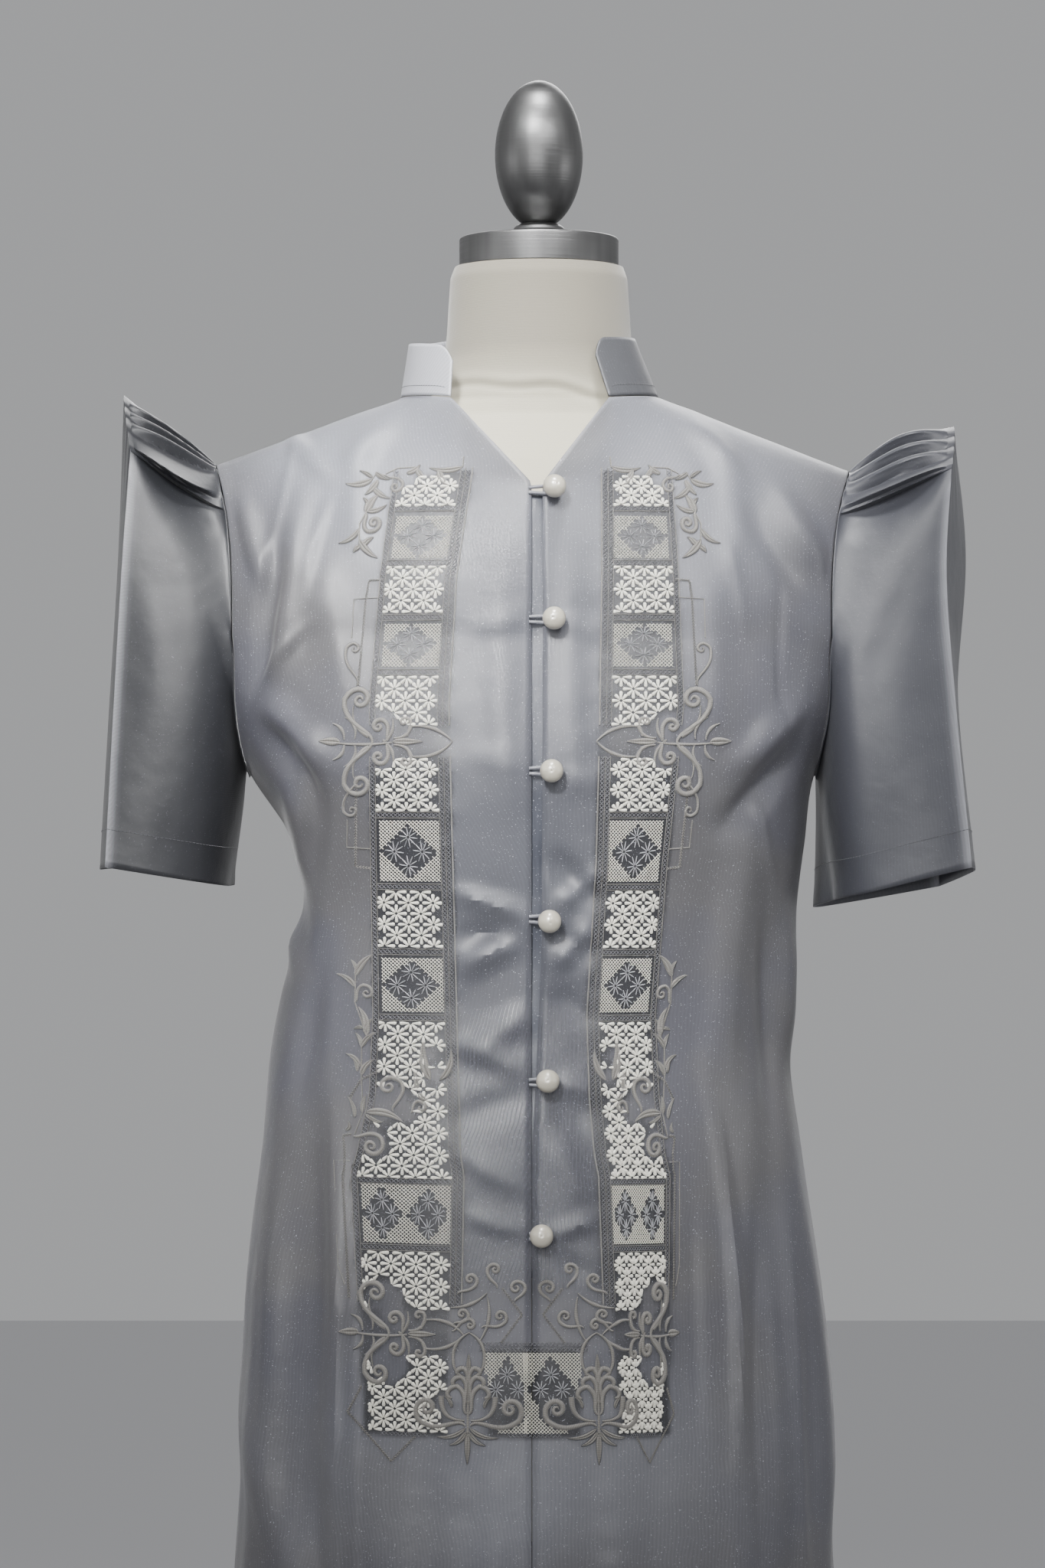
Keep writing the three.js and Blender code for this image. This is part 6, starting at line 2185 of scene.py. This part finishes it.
@dataclass
class DressForm:
    """The limbless padded form, its neck cap and finial, and the stand."""

    finishes: Finishes
    inset: float = 1.0
    cap_radius: float = 51.0
    touch: float = 0.3

    def torso(self) -> None:
        """Superellipse sections from a flat bottom to the neck, with the cover's crease at its base."""
        z = np.concatenate([
            np.linspace(640, 1285, 110), np.linspace(1287, 1360, 45), np.linspace(1362, 1437, 46),
        ])[:, None]
        turn = np.linspace(0, 2 * math.pi, 128, endpoint=False)[None, :]
        s, c = np.sin(turn), np.cos(turn)
        power = 2 / FORM.smooth("power", z)
        inset = self.inset * (1 - smoothstep(z, 1360, 1380))
        half = FORM.straight("half", z) - inset
        depth = np.where(c > 0, FORM.straight("front", z), FORM.straight("back", z)) - inset
        x = np.sign(s) * half * np.abs(s) ** power
        y = -np.sign(c) * depth * np.abs(c) ** power
        level = 1357 - 7.5 * smoothstep(x, -10, 45) + 1.6 * np.sin(x / 9.0)
        crease = -1.1 * bell(z - level, 2.2) + 0.8 * bell(z - level - 5, 3.0)
        crease = crease * smoothstep(c, -0.2, 0.3)
        grown = 1 + crease / np.maximum(np.hypot(x, y), 1)
        body = join(x * grown, y * grown, z)
        closed = body * [0.02, 0.02, 1.0]
        points = np.concatenate([closed[:1], body, closed[-1:]])
        faces = grid_faces(len(points), points.shape[1], True)
        piece = make_piece("form_cover", points, faces, self.finishes.jersey, None, None, 50.0)
        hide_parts("form_torso")

    def turned(self, name: str, node: str, profile: Sequence[tuple[float, float]], rounds: int = 96) -> None:
        """A piece turned about the upright axis from a profile of radii and heights.

        Args:
            name: The piece's name.
            node: The solid that it stands for.
            profile: Radii and heights from the bottom up.
            rounds: Places round it.
        """
        radius, height = np.array(profile, float).T
        radius = np.maximum(radius, 0.02)
        turn = np.linspace(0, 2 * math.pi, rounds, endpoint=False)
        x = radius[:, None] * np.sin(turn)
        y = -radius[:, None] * np.cos(turn)
        points = join(x, y, height[:, None])
        faces = grid_faces(len(points), rounds, True)
        piece = make_piece(name, points, faces, self.finishes.steel, None, None, 30.0)
        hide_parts(node)

    def rounded(self, radius: float, height: float, size: float) -> list[tuple[float, float]]:
        """The profile of an upper rim with a rounded edge."""
        turn = np.linspace(0, QUARTER, 6)
        return [(radius - size + size * math.cos(t), height - size + size * math.sin(t)) for t in turn]

    def build(self) -> None:
        """Makes the torso, cap, finial, pole, socket and base."""
        self.torso()
        low = 1437 + self.touch
        top = low + 18.6
        cap = [(0, low), (self.cap_radius - 0.4, low), (self.cap_radius, low + 0.4)]
        self.turned("cap_spun", "neck_cap", cap + self.rounded(self.cap_radius, top, 1.4) + [(0, top)])
        foot = top + self.touch
        turn = np.linspace(-1.2, 0.95, 14)
        bead = [(16.4 * math.cos(t) ** 0.8, foot + 5.2 + 5.2 * math.sin(t)) for t in turn]
        start = -math.acos(12.2 / 28.2)
        middle = foot + 10.4 + 47.6 * math.sqrt(1 - (12.2 / 28.2) ** 2)
        egg = [(28.2 * math.cos(t), middle + 47.6 * math.sin(t)) for t in np.linspace(start, QUARTER, 46)]
        self.turned("finial_turned", "finial", [(0, foot)] + bead + egg)
        base = [(0, 0), (190, 0)] + self.rounded(190, 9, 2) + [(0, 9)]
        self.turned("base_plate", "stand_base", base, 128)
        socket = [(0, 9.3), (28, 9.3), (28, 14)] + self.rounded(24, 42.3, 2) + [(0, 42.3)]
        self.turned("pole_socket", "stand_socket", socket)
        self.turned("pole_tube", "stand_pole", [(0, 42.6), (15, 42.6), (15, 639.7), (0, 639.7)], 64)


# Name, place, aim, size, power and beam of each lamp, in metres, watts and degrees.
LAMPS = (
    ("key", (-0.5, -1.7, 2.6), (-0.08, -0.05, 1.38), 0.3, 0.93, 14.0),
    ("low_key", (-0.5, -2.0, 2.2), (-0.04, -0.1, 1.08), 0.3, 0.8, 16.0),
    ("fill", (0.7, -1.7, 2.4), (0.05, -0.05, 1.32), 0.3, 0.4, 18.0),
    ("top", (0.0, -0.6, 2.9), (0, -0.05, 1.3), 0.4, 1.3, 26.0),
    ("wash", (-0.4, -2.5, 1.5), (0, 0, 1.05), 0.9, 2.7, 60.0),
    ("left_strip", (2.3, -0.7, 1.3), (0, 0, 1.1), 0.6, 2.6, 120.0),
    ("right_strip", (-2.3, -0.7, 1.5), (0, 0, 1.1), 0.6, 2.0, 120.0),
    ("rim", (0.3, 2.2, 2.6), (0, 0, 1.2), 1.4, 24.0, 120.0),
)


@dataclass
class Studio:
    """A pale floor, soft even light, and the camera at the photograph's place."""

    camera_x: float = -10.5
    distance: float = 2700.0
    eye: float = 1107.0
    lens: float = 96.84
    floor_reach: float = 6.0

    def add_object(self, name: str, data: bpy.types.ID) -> bpy.types.Object:
        """Puts a camera, a lamp or a mesh into the scene.

        Args:
            name: Its name.
            data: What it shows or lights.

        Returns:
            The object.
        """
        thing = bpy.data.objects.new(name, data)
        bpy.context.scene.collection.objects.link(thing)
        return thing

    def lamp(
        self, name: str, place: Numbers, aim: Numbers, size: float, power: float, beam: float
    ) -> None:
        """A square soft box with a grid that narrows its beam, in metres, watts and degrees.

        Args:
            name: Its name.
            place: Where it stands.
            aim: What it points at.
            size: The box's width.
            power: Its power in watts.
            beam: The angle of its beam in degrees.
        """
        light = bpy.data.lights.new(name, "AREA")
        light.shape = "SQUARE"
        light.size = size
        light.energy = power
        light.spread = math.radians(beam)
        lamp = self.add_object(name, light)
        lamp.location = place
        lamp.rotation_euler = (Vector(aim) - Vector(place)).to_track_quat("-Z", "Y").to_euler()

    def build(self) -> None:
        """Makes the camera, the lamps, the floor and the pale surround."""
        camera = bpy.data.cameras.new("camera")
        camera.sensor_width = 36.0
        camera.lens = self.lens
        camera.clip_end = 60.0
        eye = self.add_object("camera", camera)
        eye.location = (self.camera_x * MM, -self.distance * MM, self.eye * MM)
        eye.rotation_euler = (QUARTER, 0.0, 0.0)
        bpy.context.scene.camera = eye
        for row in LAMPS:
            self.lamp(*row)
        world = bpy.data.worlds.new("surround")
        bpy.context.scene.world = world
        world.use_nodes = True
        fill(world.node_tree.nodes["Background"], {"Color": linear("#EEEFF1"), "Strength": 0.46})
        material, _, shader = new_material("floor_paint")
        fill(shader, {"Base Color": linear("#DADADC"), "Roughness": 0.8})
        mesh = bpy.data.meshes.new("floor")
        low, high = -self.floor_reach, self.floor_reach
        corners = [(low, low, 0), (high, low, 0), (high, high, 0), (low, high, 0)]
        mesh.from_pydata(corners, [], [(0, 1, 2, 3)])
        mesh.materials.append(material)
        self.add_object("floor", mesh)


def main() -> None:
    """Builds every part of the dress, the form and the studio in order."""
    logging.basicConfig(level=logging.INFO, format="%(name)s %(message)s")
    finishes = Finishes()
    Studio().build()
    DressForm(finishes).build()
    front = Bodice(finishes).build()
    Collar(finishes).build()
    for side in Side:
        Sleeve(finishes, side).build()
    Buttons(finishes, front).build()
    Embroidery(front, finishes).build()


if __name__ == "__main__":
    main()
